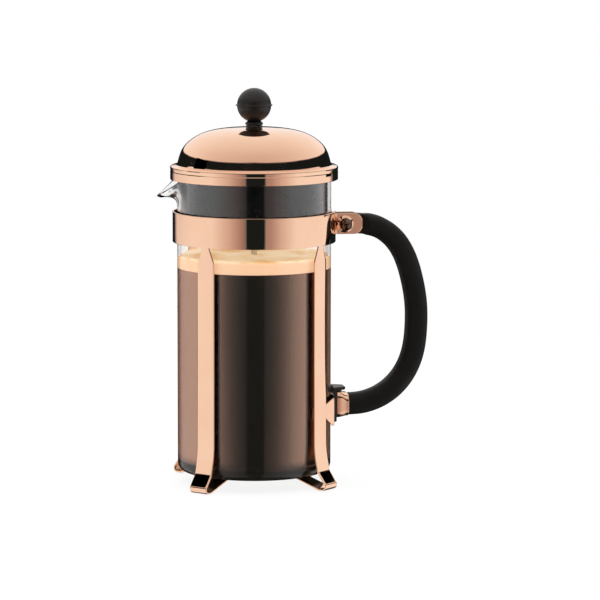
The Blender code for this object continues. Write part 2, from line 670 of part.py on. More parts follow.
def beaker():
    """Round-cornered glass with a pinched, drooping spout toward -X."""
    out_low, outer, spout_out, in_low, inner, spout_in = beaker_profiles()
    near = SPOUT_HALF_ANGLE * np.array([-1, -0.84, -0.68, -0.52, -0.38, -0.25, -0.14, -0.06, 0,
                                        0.06, 0.14, 0.25, 0.38, 0.52, 0.68, 0.84, 1])
    rest = np.linspace(SPOUT_HALF_ANGLE, 2 * math.pi - SPOUT_HALF_ANGLE, 49)[1:-1]
    angles = np.r_[near, rest] + math.pi
    share = np.r_[1 - np.abs(near) / SPOUT_HALF_ANGLE, np.zeros(len(rest))]
    pull = share ** 1.35
    sink = pull ** 0.61
    floor = STAND_Z + SEAT_GAP + GLASS_PUNT
    rows = [[(r, z)] * len(angles) for r, z in out_low]

    def spout_rows(plain, drawn):
        made = []
        for (r0, z0), (r1, z1) in zip(plain, drawn):
            made.append([(r0 + (r1 - r0) * p, z0 + (z1 - z0) * s) for p, s in zip(pull, sink)])
        return made

    rows += spout_rows(outer, spout_out)
    rows += spout_rows(inner, spout_in)[::-1]
    rows += [[(r, z)] * len(angles) for r, z in in_low[::-1]]
    verts = [(0.0, 0.0, floor)]
    rings = [[0] * len(angles)]
    for row in rows:
        rings.append(list(range(len(verts), len(verts) + len(angles))))
        verts.extend((r * math.cos(a), r * math.sin(a), z) for (r, z), a in zip(row, angles))
    rings.append([len(verts)] * len(angles))
    verts.append((0.0, 0.0, floor + GLASS_FLOOR))
    faces = []
    for low, high in zip(rings, rings[1:]):
        for i in range(len(angles)):
            j = (i + 1) % len(angles)
            quad = list(dict.fromkeys((low[i], low[j], high[j], high[i])))
            if len(quad) > 2:
                faces.append(quad)
    make_object("beaker", verts, faces, ((0.95, 0.97, 0.97), 0.0, 0.02, 1.0))


# ---------------------------------------------------------------- lid

def dome_profile():
    """Outer face of the lid from the hole in its middle down to the rim's lower edge."""
    points = spline([(r * DOME_R, RIM_TOP_Z + z * DOME_HEIGHT) for r, z in DOME], 9)
    points[0, 0] = BUSH_R + RUN_GAP
    profile = [tuple(p) for p in points]
    profile += [(DOME_R + 0.7 * MM, RIM_TOP_Z + 0.05 * MM), (RIM_R - 1.8 * MM, RIM_TOP_Z)]
    profile += arc((RIM_R - 1.0 * MM, RIM_TOP_Z - 1.0 * MM), 1.0 * MM, 70, 0, 2)
    profile += [(RIM_R, RIM_TOP_Z - 2.6 * MM), (RIM_R - 0.35 * MM, RIM_TOP_Z - 3.1 * MM),
                (RIM_R - 0.1 * MM, RIM_TOP_Z - 3.6 * MM), (RIM_R - 0.1 * MM, RIM_LOW_Z)]
    return profile


def lid_cover():
    """Pressed dome and rim in one sheet."""
    outside = dome_profile()
    inside = offset_profile(outside, LID_T)
    inside[0] = (outside[0][0], outside[0][1] - LID_T)
    inside[-1] = (outside[-1][0] - LID_T, outside[-1][1])
    verts, faces = turned(outside + inside[::-1])
    make_object("lid_cover", verts, faces, ((0.86, 0.52, 0.38), 1.0, 0.08))


def liner_radius():
    return GLASS_R - GLASS_WALL - LINER_GAP


def lid_liner():
    """Plastic plug: a flange on the glass rim, a web under the dome and a slotted skirt."""
    skirt, flange = liner_radius(), GLASS_RIM_Z + SEAT_GAP
    edge = RIM_R - LID_T - 0.45 * MM
    web_top = flange + FLANGE_T
    profile = [(BUSH_R + RUN_GAP, flange), (skirt - LINER_T, flange), (skirt - LINER_T, LINER_LOW_Z),
               (skirt, LINER_LOW_Z), (skirt, flange), (edge, flange), (edge, LINER_TOP_Z - 0.6 * MM),
               (edge - 0.6 * MM, LINER_TOP_Z), (DOME_R - 0.3 * MM, LINER_TOP_Z),
               (DOME_R - 1.7 * MM, web_top),
               (BUSH_R + RUN_GAP, web_top)]
    verts, faces = turned(profile)
    obj = make_object("lid_liner", verts, faces, ((0.025, 0.022, 0.022), 0.0, 0.35))
    boxes = []
    for k in range(9):
        a = math.pi + math.radians(4.2) * (k - 4)
        out, side = np.array([math.cos(a), math.sin(a)]), np.array([-math.sin(a), math.cos(a)])
        sections = []
        near, far = skirt - LINER_T - 2 * MM, skirt + 2 * MM
        for z in (GLASS_RIM_Z - 21.5 * MM, GLASS_RIM_Z - 5.5 * MM):
            sections.append([(*(out * r + side * w), z) for r, w in
                             ((near, -0.8 * MM), (far, -0.8 * MM), (far, 0.8 * MM),
                              (near, 0.8 * MM))])
        boxes.append(lofted(sections))
    cut(obj, [make_cutter("cut_slots", *merged(boxes))])


def rod_bush():
    """Plastic guide clipped in the lid's middle; the lid turns on it and the rod slides in it."""
    bore = ROD_R + RUN_GAP
    top, under, low = DOME_TOP_Z + SEAT_GAP, DOME_TOP_Z - LID_T - SEAT_GAP, GLASS_RIM_Z - 2.5 * MM
    profile = [(bore, low), (BUSH_R - 0.6 * MM, low), (BUSH_R, low + 1.0 * MM),
               (BUSH_R, low + 15.0 * MM), (BUSH_R + 1.8 * MM, under - 2.2 * MM),
               (BUSH_R + 2.2 * MM, under - 1.0 * MM), (BUSH_R + 2.0 * MM, under), (BUSH_R, under),
               (BUSH_R, top), (BUSH_R + 1.3 * MM, top), (BUSH_R + 1.2 * MM, top + 0.5 * MM),
               (BUSH_R + 0.6 * MM, top + BUSH_LIP), (bore, top + BUSH_LIP)]
    verts, faces = turned(profile, 28)
    make_object("rod_bush", verts, faces, ((0.02, 0.02, 0.02), 0.0, 0.4))


# ---------------------------------------------------------------- plunger

def knob():
    """Ball with a seam ridge on a waisted neck, hollow for its threaded insert."""
    bore = INSERT_R + THREAD_GAP
    profile = [(bore, KNOB_FOOT_Z)]
    profile += [(INSERT_R + r * MM, KNOB_FOOT_Z + z * MM) for r, z in
                ((1.9, 0.0), (2.3, 0.6), (2.1, 1.5), (1.1, 2.3), (0.8, 2.8))]
    ball = arc((0.0, KNOB_Z), KNOB_R, -63, -4, 7)
    ridge = [(KNOB_R + 0.8 * MM, KNOB_Z - 0.35 * MM), (KNOB_R + 0.8 * MM, KNOB_Z + 0.35 * MM)]
    upper = arc((0.0, KNOB_Z), KNOB_R, 4, 80, 8)
    profile += ball + ridge + upper + [(0.0, KNOB_Z + KNOB_R), (0.0, KNOB_Z + 2.9 * MM),
                                       (bore, KNOB_Z + 2.9 * MM)]
    verts, faces = turned(profile, 24)
    make_object("knob", verts, faces, ((0.02, 0.02, 0.02), 0.0, 0.45))


def knob_insert():
    """Threaded metal insert that joins knob and rod."""
    bore = ROD_R + THREAD_GAP
    low, top = KNOB_Z - 8.5 * MM, KNOB_Z + 2.6 * MM
    profile = [(bore, low), (INSERT_R - 0.4 * MM, low), (INSERT_R, low + 0.5 * MM),
               (INSERT_R, top - 0.5 * MM), (INSERT_R - 0.4 * MM, top), (bore, top)]
    make_object("knob_insert", *turned(profile, 24), ((0.78, 0.62, 0.3), 1.0, 0.3))


def plunger_rod():
    """Round steel rod from the cross plate's hub to the knob."""
    top = KNOB_Z + 2.4 * MM
    profile = [(0.0, ROD_LOW_Z), (ROD_R - 0.4 * MM, ROD_LOW_Z), (ROD_R, ROD_LOW_Z + 0.5 * MM),
               (ROD_R, top - 0.5 * MM), (ROD_R - 0.4 * MM, top), (0.0, top)]
    make_object("plunger_rod", *turned(profile, 20), ((0.62, 0.62, 0.62), 1.0, 0.2))


def filter_radius():
    return GLASS_R - GLASS_WALL - FILTER_GAP


def cross_radius():
    return filter_radius() - 4.85 * MM


def hole_cutter(name, count, pitch, radius, low, high):
    """A ring of round holes."""
    shapes = []
    for k in range(count):
        a = 2 * math.pi * (k + 0.5) / count
        verts, faces = turned([(0.0, low), (radius, low), (radius, high), (0.0, high)], 12)
        shapes.append((moved(verts, pitch * math.cos(a), pitch * math.sin(a)), faces))
    return make_cutter(name, *merged(shapes))


def cross_plate():
    """Stiff bottom plate with large holes and the hub the rod screws into."""
    top, bore, hub, edge = PLATE_Z + PLATE_T, ROD_R + THREAD_GAP, ROD_R + 3.2 * MM, cross_radius()
    profile = [(bore, HUB_Z), (hub - 0.6 * MM, HUB_Z), (hub, HUB_Z + 0.6 * MM), (hub, PLATE_Z),
               (edge - 1.0 * MM, PLATE_Z), (edge, PLATE_Z + 0.4 * MM), (edge, top), (bore, top)]
    obj = make_object("cross_plate", *turned(profile, 48), ((0.6, 0.6, 0.6), 1.0, 0.3))
    pitch, edge_pitch = edge * 24 / 41, edge - 4.7 * MM
    cut(obj, [hole_cutter("cut_cross", 6, pitch, 0.375 * pitch, PLATE_Z - 4 * MM, PLATE_Z + 4 * MM),
              hole_cutter("cut_cross_edge", 12, edge_pitch, 2.1 * MM, PLATE_Z - 3 * MM,
                          PLATE_Z + 3 * MM)])


def filter_mesh():
    """Woven filter disc whose edge is folded up round the spring."""
    low, reach = PLATE_Z + PLATE_T + SEAT_GAP, filter_radius()
    outside = [(ROD_R + 0.3 * MM, low), (reach - 3.2 * MM, low)]
    outside += arc((reach - 3.2 * MM, low + 3.2 * MM), 3.2 * MM, -60, 0, 3)
    outside.append((reach, low + 4.4 * MM))
    inside = [(r - (MESH_T if k > 1 else 0.0), z + (MESH_T if k < 3 else 0.0))
              for k, (r, z) in enumerate(outside)]
    make_object("filter_mesh", *turned(outside + inside[::-1]), ((0.55, 0.55, 0.55), 1.0, 0.4))


def spiral_plate():
    """Top disc with an upright lip that carries the edge spring."""
    low = PLATE_Z + PLATE_T + MESH_T + 2 * SEAT_GAP
    lip = filter_radius() - MESH_T - 2 * COIL_R - 0.7 * MM
    profile = [(ROD_R + 0.3 * MM, low), (lip - 0.6 * MM, low), (lip, low + 0.6 * MM),
               (lip, low + 3.6 * MM), (lip - DISC_T, low + 3.6 * MM), (lip - DISC_T, low + DISC_T),
               (ROD_R + 0.3 * MM, low + DISC_T)]
    obj = make_object("spiral_plate", *turned(profile), ((0.62, 0.62, 0.62), 1.0, 0.3))
    cut(obj, [hole_cutter("cut_spiral", 10, lip - 16.75 * MM, 4.5 * MM, low - 2 * MM,
                          low + 2.4 * MM)])


def edge_spring():
    """Coiled ring round the disc, drawn as the ring it fills."""
    middle = filter_radius() - MESH_T - COIL_R - 0.35 * MM
    level = PLATE_Z + PLATE_T + MESH_T + 2.9 * MM
    profile = arc((middle, level), COIL_R, 0, 315, 7)
    make_object("edge_spring", *turned(profile), ((0.62, 0.62, 0.62), 1.0, 0.25))


def rod_nut():
    """Six-sided nut that clamps the filter pack down on the cross plate."""
    low = PLATE_Z + PLATE_T + MESH_T + DISC_T + 3 * SEAT_GAP
    bore, flat = ROD_R + THREAD_GAP, NUT_R * math.cos(math.pi / 6)
    profile = [(bore, low), (flat, low), (NUT_R, low + 0.3 * MM), (NUT_R, low + 2.9 * MM),
               (flat, low + 3.2 * MM), (bore, low + 3.2 * MM)]
    make_object("rod_nut", *turned(profile, 24, hexagon=flat), ((0.62, 0.62, 0.62), 1.0, 0.25))


def group(name, members):
    """An empty on the beaker's axis that carries the pieces of one moving body."""
    axis = bpy.data.objects.new(name + "_axis", None)
    bpy.context.collection.objects.link(axis)
    for member in members:
        bpy.data.objects[member].parent = axis


def build():
    clear_scene()
    screw_hole, rivet_holes, tang_slot = screw_cutter(), rivet_cutter(), tang_cutter()
    frame_shell([screw_hole, rivet_holes])
    base_plate([rivet_holes])
    base_rivets()
    bracket()
    handle_foot([tang_slot])
    handle_collar()
    handle([screw_hole, tang_slot])
    clamp_screw()
    cup_washer()
    cap_nut()
    beaker()
    rod_bush()
    lid_cover()
    lid_liner()
    knob()
    knob_insert()
    plunger_rod()
    cross_plate()
    filter_mesh()
    spiral_plate()
    edge_spring()
    rod_nut()
    group("beaker", ["beaker"])
    group("bush", ["rod_bush"])
    group("lid", ["lid_cover", "lid_liner"])
    group("plunger", ["knob", "knob_insert", "plunger_rod", "cross_plate", "filter_mesh",
                      "spiral_plate", "edge_spring", "rod_nut"])


build()
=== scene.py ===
import math

import bmesh
import bpy
import numpy as np
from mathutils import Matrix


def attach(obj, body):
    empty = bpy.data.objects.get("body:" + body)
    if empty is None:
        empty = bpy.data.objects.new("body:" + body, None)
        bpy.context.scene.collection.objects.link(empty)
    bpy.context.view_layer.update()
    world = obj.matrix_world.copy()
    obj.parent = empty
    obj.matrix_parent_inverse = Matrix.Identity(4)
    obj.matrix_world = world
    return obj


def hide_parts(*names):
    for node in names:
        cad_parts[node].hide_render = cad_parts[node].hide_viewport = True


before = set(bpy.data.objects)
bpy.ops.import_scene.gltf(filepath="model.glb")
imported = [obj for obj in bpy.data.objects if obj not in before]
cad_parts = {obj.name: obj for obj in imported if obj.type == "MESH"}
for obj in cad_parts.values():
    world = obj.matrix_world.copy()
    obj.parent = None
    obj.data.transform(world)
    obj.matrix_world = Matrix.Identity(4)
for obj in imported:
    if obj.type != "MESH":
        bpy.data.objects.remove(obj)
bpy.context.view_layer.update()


# ---- The studio: a white table, a camera with a long lens a little above the lid, two tall soft
# boxes left and right of it with a dark gap between them, and a white ceiling and rear wall.
mm = 0.001
scene = bpy.context.scene
scene.view_settings.view_transform = "Standard"

camera_data = bpy.data.cameras.new("camera")
camera_data.sensor_width = 36.0
camera_data.lens = 202.9
camera_data.shift_x = 0.0764
camera_data.shift_y = -0.001
camera = bpy.data.objects.new("camera", camera_data)
camera.location = (-0.3305, -2.0728, 0.3818)
camera.rotation_euler = (math.radians(90.0 - 7.25), 0.0, math.radians(-9.06))
scene.collection.objects.link(camera)
scene.camera = camera


def worked(tree, operation, *values, clamp=False):
    """One Math node: the operation on sockets or plain numbers."""
    node = tree.nodes.new("ShaderNodeMath")
    node.operation, node.use_clamp = operation, clamp
    for socket, value in zip(node.inputs, values):
        if isinstance(value, (int, float)):
            socket.default_value = value
        else:
            tree.links.new(value, socket)
    return node.outputs[0]


def ranged(tree, value, low, high, out_low=0.0, out_high=1.0, kind="SMOOTHSTEP"):
    """Map Range: value between low and high becomes out_low to out_high, held outside them."""
    node = tree.nodes.new("ShaderNodeMapRange")
    node.interpolation_type, node.clamp = kind, True
    tree.links.new(value, node.inputs["Value"])
    for name, number in (("From Min", low), ("From Max", high), ("To Min", out_low),
                         ("To Max", out_high)):
        node.inputs[name].default_value = number
    return node.outputs[0]


def ramped(tree, value, pairs):
    """Colour ramp through the given (place, colour) pairs, straight between them."""
    node = tree.nodes.new("ShaderNodeValToRGB")
    ramp = node.color_ramp
    while len(ramp.elements) < len(pairs):
        ramp.elements.new(1.0)
    for element, (place, colour) in zip(ramp.elements, pairs):
        element.position, element.color = place, (*colour, 1.0)
    tree.links.new(value, node.inputs["Fac"])
    return node.outputs["Color"]


def stops(tree, value, pairs):
    """Level through the given (place, level) pairs, straight between them."""
    greys = ramped(tree, value, [(place, (level, level, level)) for place, level in pairs])
    return worked(tree, "MULTIPLY", greys, 1.0)


def new_finish(name):
    """A new material with its node tree and main shader."""
    finish = bpy.data.materials.new(name)
    finish.use_nodes = True
    return finish, finish.node_tree, finish.node_tree.nodes["Principled BSDF"]


table_r, table_drop, table_sides = 1.6, 0.2 * mm, 96
turn = np.linspace(0.0, 2.0 * np.pi, table_sides + 1)[:-1]
table_edge = np.stack([table_r * np.cos(turn), table_r * np.sin(turn), 0 * turn - table_drop],
                      axis=1)
table_top = bpy.data.meshes.new("table_top")
table_top.from_pydata(table_edge.tolist(), [], [list(range(table_sides))])
floor = bpy.data.objects.new("table_top", table_top)
scene.collection.objects.link(floor)
white, tree, shader = new_finish("white_table")
shader.inputs["Base Color"].default_value = (0.92, 0.92, 0.915, 1.0)
shader.inputs["Roughness"].default_value = 0.75
glow, blend = tree.nodes.new("ShaderNodeEmission"), tree.nodes.new("ShaderNodeMixShader")
spot = tree.nodes.new("ShaderNodeVectorMath")
spot.operation = "LENGTH"
tree.links.new(tree.nodes.new("ShaderNodeTexCoord").outputs["Object"], spot.inputs[0])
tree.links.new(ranged(tree, spot.outputs["Value"], 0.15, 1.1, 0.88, 1.0), blend.inputs["Fac"])
tree.links.new(shader.outputs[0], blend.inputs[1])
tree.links.new(glow.outputs[0], blend.inputs[2])
tree.links.new(blend.outputs[0], tree.nodes["Material Output"].inputs["Surface"])
table_top.materials.append(white)
floor.visible_glossy = floor.visible_transmission = False

# Two black cards that only reflections see; they keep the slanted feet dark. Right and away lie
# on the table as the camera stands, and a bearing turns from the camera towards its right.
right, away = (0.98753, -0.15747, 0.0), (0.15747, 0.98753, 0.0)
cloth, tree, shader = new_finish("black_cloth")
shader.inputs["Base Color"].default_value = (0.0, 0.0, 0.0, 1.0)
shader.inputs["Specular IOR Level"].default_value = 0.0
for label, card_bearing, distance, low, high, half in (
        ("left_flag", -85.0, 0.30, 0.19, 0.31, 0.06),
        ("right_flag", 117.0, 0.36, 0.162, 0.235, 0.05)):
    turn = math.radians(card_bearing)
    out = np.array(right) * math.sin(turn) - np.array(away) * math.cos(turn)
    side = np.array([-out[1], out[0], 0.0])
    corners = [out * distance + side * half * k + np.array([0.0, 0.0, z])
               for k, z in ((-1, low), (1, low), (1, high), (-1, high))]
    card = bpy.data.meshes.new(label)
    card.from_pydata([tuple(c) for c in corners], [], [(0, 1, 2, 3)])
    card.materials.append(cloth)
    flag = bpy.data.objects.new(label, card)
    scene.collection.objects.link(flag)
    flag.visible_camera = flag.visible_diffuse = flag.visible_transmission = False
    flag.visible_shadow = False

# The room: soft boxes by bearing up to their tops, the ceiling above its lower edge, and plain
# white behind all that is clear.
world = bpy.data.worlds.new("studio")
scene.world = world
world.use_nodes = True
tree = world.node_tree
look = tree.nodes.new("ShaderNodeTexCoord").outputs["Generated"]
parts = []
for axis in (right, away, (0.0, 0.0, 1.0)):
    dot = tree.nodes.new("ShaderNodeVectorMath")
    dot.operation = "DOT_PRODUCT"
    tree.links.new(look, dot.inputs[0])
    dot.inputs[1].default_value = axis
    parts.append(dot.outputs["Value"])
across, depth, height = parts
bearing = worked(tree, "ARCTAN2", across, worked(tree, "MULTIPLY", depth, -1.0))
share = worked(tree, "ADD", worked(tree, "DIVIDE", bearing, 2.0 * math.pi), 0.5)
boxes = stops(tree, share, [(0.5 + d / 360.0, level) for d, level in (
    (-152, 0.01), (-140, 0.80), (-100, 0.97), (-62, 0.95), (-36, 0.66), (-20, 0.40),
    (-11.6, 0.24), (-10.4, 0.015), (14.8, 0.015), (16.2, 0.37), (24, 0.41), (38, 0.66),
    (62, 0.95), (126, 1.0), (138, 0.01))])
boxes = worked(tree, "MULTIPLY", boxes, ranged(tree, height, -0.95, -0.8))
lid_line = stops(tree, share, [(0.5 + d / 360.0, level) for d, level in (
    (-128, 0.0), (-112, 0.20), (-50, 0.23), (-36, 0.13), (36, 0.13), (50, 0.23), (112, 0.17),
    (128, 0.0))])
boxes = worked(tree, "MULTIPLY", boxes,
               ranged(tree, worked(tree, "SUBTRACT", height, lid_line), 0.02, -0.02))
edge = stops(tree, share, [(0.5 + d / 360.0, math.sin(math.radians(e))) for d, e in (
    (-180, 4.5), (-158, 7), (-134, 13.5), (-110, 18), (-80, 22.5), (-36, 26.5), (0, 28.5),
    (36, 26.5), (80, 22.5), (110, 18), (134, 13.5), (158, 7), (180, 4.5))])
ceiling = worked(tree, "MULTIPLY",
                 ranged(tree, worked(tree, "SUBTRACT", height, edge), -0.012, 0.02),
                 ranged(tree, depth, -0.9, 0.85, 0.66, 1.0, "LINEAR"))
darkest = 0.012
room = worked(tree, "MAXIMUM", worked(tree, "MAXIMUM", boxes, ceiling), darkest)
path = tree.nodes.new("ShaderNodeLightPath")
behind = ranged(tree, worked(tree, "ABSOLUTE", bearing), 2.5, 2.7)
seen = worked(tree, "MAXIMUM", path.outputs["Is Camera Ray"],
              worked(tree, "MULTIPLY", path.outputs["Is Transmission Ray"], behind))
room = worked(tree, "MAXIMUM", room, seen)
background = tree.nodes["Background"]
tint = ramped(tree, room, [(0.02, (0.70, 1.10, 1.20)), (0.30, (1.10, 0.84, 0.80)),
                           (0.55, (1.06, 0.87, 0.82)), (0.92, (1.0, 1.0, 1.0))])
tree.links.new(tint, background.inputs["Color"])
tree.links.new(room, background.inputs["Strength"])

lamp_data = bpy.data.lights.new("ceiling_lamp", "AREA")
lamp_data.shape, lamp_data.size, lamp_data.energy = "SQUARE", 5.0, 150.0
lamp = bpy.data.objects.new("ceiling_lamp", lamp_data)
lamp.location = (0.0, 0.0, 3.0)
lamp.visible_glossy = False
scene.collection.objects.link(lamp)


# ---- Band, clamp ears and legs: one pressed sheet, polished and copper-plated. The band's two
# ends fold out as ears for the clamp screw; each leg leans out, rolls back on the table and ends
# as a strap under the glass.
def skin(points, around=False, along=False, caps=False):
    """Surface through a grid: each face joins points i, i+1 with j, j+1. Around closes j on
    itself, along closes i, and caps puts one face over the first and the last row."""
    rows, columns = points.shape[:2]
    index = np.arange(rows * columns).reshape(rows, columns)
    ends = [index[0][::-1], index[-1]] if caps else []
    index = np.hstack([index, index[:, :1]]) if around else index
    index = np.vstack([index, index[:1]]) if along else index
    quads = np.stack([index[:-1, :-1], index[:-1, 1:], index[1:, 1:], index[1:, :-1]], axis=-1)
    return points.reshape(-1, 3), quads.reshape(-1, 4), ends


def joined(name, skins, finish, crease=35.0):
    """One object from several closed skins: doubles merged, faces turned outwards, shading
    smooth up to the crease angle."""
    faces, count = [], 0
    for points, quads, ends in skins:
        faces += (quads + count).tolist() + [(end + count).tolist() for end in ends]
        count += len(points)
    mesh = bpy.data.meshes.new(name)
    mesh.from_pydata(np.vstack([s[0] for s in skins]).tolist(), [], faces)
    work = bmesh.new()
    work.from_mesh(mesh)
    bmesh.ops.remove_doubles(work, verts=work.verts, dist=2e-6)
    bmesh.ops.dissolve_degenerate(work, edges=work.edges, dist=1e-7)
    bmesh.ops.recalc_face_normals(work, faces=work.faces)
    work.to_mesh(mesh)
    work.free()
    mesh.shade_smooth()
    mesh.set_sharp_from_angle(angle=math.radians(crease))
    mesh.materials.append(finish)
    made = bpy.data.objects.new(name, mesh)
    scene.collection.objects.link(made)
    return made


def strip_edge(thick, soft, across):
    """Cross-section of a sheet strip as share of the half width, added width, and depth into
    the sheet: two straight faces joined by quarter rounds of the softness."""
    quarter = np.linspace(0.0, np.pi / 2, 5)[1:-1]
    flat, one = np.linspace(-1.0, 1.0, across), np.ones(4)
    low, high = np.r_[0.0, quarter] + 0.0, np.r_[quarter, np.pi / 2]
    share = np.r_[flat, one, one, -flat, -one, -one]
    extra = soft * np.r_[0 * flat, np.sin(high), np.cos(low), 0 * flat, -np.sin(high),
                         -np.cos(low)]
    deep = np.r_[0 * flat, soft - soft * np.cos(high), thick - soft + soft * np.sin(low),
                 0 * flat + thick, thick - soft + soft * np.cos(high), soft - soft * np.sin(low)]
    return share, extra, deep


def rounded(corners, radius, steps=6, closed=False):
    """Outline through corners with each one replaced by an arc that touches both sides: the
    arc starts radius / tan(half the corner's angle) before the corner."""
    p = np.array(corners, dtype=float)
    radii = np.broadcast_to(np.array(radius, dtype=float), len(p))
    before, after = np.roll(p, 1, axis=0) - p, np.roll(p, -1, axis=0) - p
    room = 0.499 * np.minimum(np.hypot(*before.T), np.hypot(*after.T))
    before /= np.hypot(*before.T)[:, None] + 1e-12
    after /= np.hypot(*after.T)[:, None] + 1e-12
    half = 0.5 * np.arccos(np.clip((before * after).sum(1), -0.999999, 0.999999))
    reach = np.minimum(radii / np.tan(half), room)
    first, last = p + before * reach[:, None], p + after * reach[:, None]
    middle = (before + after) / np.hypot(*(before + after).T)[:, None]
    centre = p + middle * (reach / np.cos(half))[:, None]
    a, b = first - centre, last - centre
    swing = np.arctan2(a[:, 0] * b[:, 1] - a[:, 1] * b[:, 0], (a * b).sum(1))
    t = swing[:, None] * np.linspace(0.0, 1.0, steps + 1)
    arcs = np.stack([centre[:, :1] + a[:, :1] * np.cos(t) - a[:, 1:] * np.sin(t),
                     centre[:, 1:] + a[:, :1] * np.sin(t) + a[:, 1:] * np.cos(t)], axis=-1)
    arcs = np.where((radii > 0)[:, None, None], arcs, p[:, None, :])
    if closed:
        return arcs.reshape(-1, 2)
    return np.vstack([p[:1], arcs[1:-1].reshape(-1, 2), p[-1:]])


def run_along(line):
    """Length along a line up to each of its points: the running sum of its steps."""
    return np.r_[0.0, np.cumsum(np.hypot(*np.diff(line, axis=0).T))]


def at_lengths(line, run, wanted):
    """Points of the line at the wanted lengths, straight between its own points."""
    return np.stack([np.interp(wanted, run, line[:, k]) for k in (0, 1)], axis=1)


def headed(line, *run):
    """Direction at each point of a line: the slope between its neighbours, made one long."""
    step = np.gradient(line, *run, axis=0)
    return step / np.hypot(*step.T)[:, None]


def arrows(angles):
    """Arrows of length one at the angles: cosine across, sine up."""
    return np.stack([np.cos(angles), np.sin(angles)], axis=1)


def grain(tree, scale, detail=3.0, stretch=(1.0, 1.0, 1.0), rough=0.55):
    """Noise on the piece's own metres, stretched along its axes."""
    place = tree.nodes.new("ShaderNodeTexCoord")
    mapping = tree.nodes.new("ShaderNodeMapping")
    mapping.inputs["Scale"].default_value = stretch
    noise = tree.nodes.new("ShaderNodeTexNoise")
    noise.inputs["Scale"].default_value = scale
    noise.inputs["Detail"].default_value = detail
    noise.inputs["Roughness"].default_value = rough
    tree.links.new(place.outputs["Object"], mapping.inputs["Vector"])
    tree.links.new(mapping.outputs["Vector"], noise.inputs["Vector"])
    return noise.outputs["Fac"]


def tinted(tree, value, dark, light, low=0.3, high=0.7):
    """Colour that goes from dark to light as the value goes from low to high."""
    return ramped(tree, value, [(low, dark), (high, light)])


def raised(tree, value, strength, reach):
    """Bump of the given reach in metres, on the shader's normal."""
    node = tree.nodes.new("ShaderNodeBump")
    node.inputs["Strength"].default_value = strength
    node.inputs["Distance"].default_value = reach
    tree.links.new(value, node.inputs["Height"])
    return node.outputs["Normal"]


def polished_copper(name, low_gloss=0.03, high_gloss=0.07, painted_shade_scale=1.0):
    """Mirror-bright copper plate: faint warm and cool patches, soft wipe marks that change the
    gloss a little, and hairlines from polishing. The last argument scales the colour down:
    painted shade that darkens the whole piece when it is below one."""
    finish, tree, shader = new_finish(name)
    shader.inputs["Metallic"].default_value = 1.0
    patches = grain(tree, 28.0, 4.0)
    wiped = grain(tree, 90.0, 5.0, (1.0, 1.0, 0.35))
    hairs = grain(tree, 1400.0, 2.0, (1.0, 1.0, 0.05))
    tree.links.new(tinted(tree, patches, [painted_shade_scale * c for c in (0.945, 0.590, 0.405)],
                          [painted_shade_scale * c for c in (0.975, 0.640, 0.455)]),
                   shader.inputs["Base Color"])
    tree.links.new(ranged(tree, wiped, 0.35, 0.75, low_gloss, high_gloss),
                   shader.inputs["Roughness"])
    tree.links.new(raised(tree, hairs, 0.04, 0.02 * mm), shader.inputs["Normal"])
    return finish


sheet, soft = 1.0 * mm, 0.3 * mm
band_r, band_low, band_top = 50.9 * mm, 151.5 * mm, 170.6 * mm
ear_face, ear_fold, ear_end, ear_corner = 6.2 * mm, 0.9 * mm, 67.6 * mm, 5.0 * mm
ear_low, ear_top, band_corner = 155.6 * mm, 168.6 * mm, 2.2 * mm
leg_width, neck_width, neck_length = 12.5 * mm, 4.7 * mm, 10.0 * mm
copper = polished_copper("copper_frame")

ear_start = math.asin((ear_face + ear_fold) / (band_r + ear_fold))
fold_centre = (band_r + ear_fold) * np.array([math.cos(ear_start), math.sin(ear_start)])
from_end = np.r_[ear_corner * (1 - np.cos(np.linspace(0.0, np.pi / 2, 14))),
                 np.linspace(ear_corner, ear_end - fold_centre[0], 6)[1:]]
folding = np.linspace(np.pi / 2, ear_start, 12)[1:]
from_fold = np.r_[band_corner * (1 - np.cos(np.linspace(0.0, np.pi / 2, 10))),
                  np.linspace(band_corner, (np.pi - ear_start) * band_r, 150)[1:]]
turn = ear_start + from_fold / band_r
normal = np.r_[np.tile([[0.0, 1.0]], (len(from_end), 1)), arrows(folding), arrows(turn)]
plan = np.r_[np.stack([ear_end - from_end, 0 * from_end + ear_face], axis=1),
             fold_centre - ear_fold * arrows(folding), band_r * arrows(turn)]
ear_drop = ear_corner - np.sqrt(ear_corner ** 2 - np.clip(ear_corner - from_end, 0, None) ** 2)
band_drop = band_corner - np.sqrt(band_corner ** 2
                                  - np.clip(band_corner - from_fold, 0, None) ** 2)
low = np.r_[ear_low + ear_drop, 0 * folding + ear_low, band_low + band_drop]
high = np.r_[ear_top - ear_drop, 0 * folding + ear_top, band_top - 0.5 * band_drop]
mirror = np.array([1.0, -1.0])
plan, normal = np.r_[plan, plan[-2::-1] * mirror], np.r_[normal, normal[-2::-1] * mirror]
low, high = np.r_[low, low[-2::-1]], np.r_[high, high[-2::-1]]
share, extra, deep = strip_edge(sheet, soft, 5)
flat_points = plan[:, None, :] - normal[:, None, :] * deep[None, :, None]
level = (low + high)[:, None] / 2 + share * ((high - low)[:, None] / 2 - soft) + extra
frame_skins = [skin(np.dstack([flat_points, level]), around=True, caps=True)]

roll_r, roll_centre, foot_flat = 2.9 * mm, np.array([55.1, 2.9]) * mm, 2.2 * mm
kink, strap_rise = np.array([53.5, 11.5]) * mm, np.array([35.0, 6.0]) * mm


def touch(point, side):
    """Angle on the roll at which the line from the point touches it: the bearing of the point
    from the roll's centre, plus or minus the arc cosine of radius over distance."""
    back = point - roll_centre + (side * foot_flat / 2, 0.0)
    return math.atan2(back[1], back[0]) + side * math.acos(roll_r / np.linalg.norm(back))


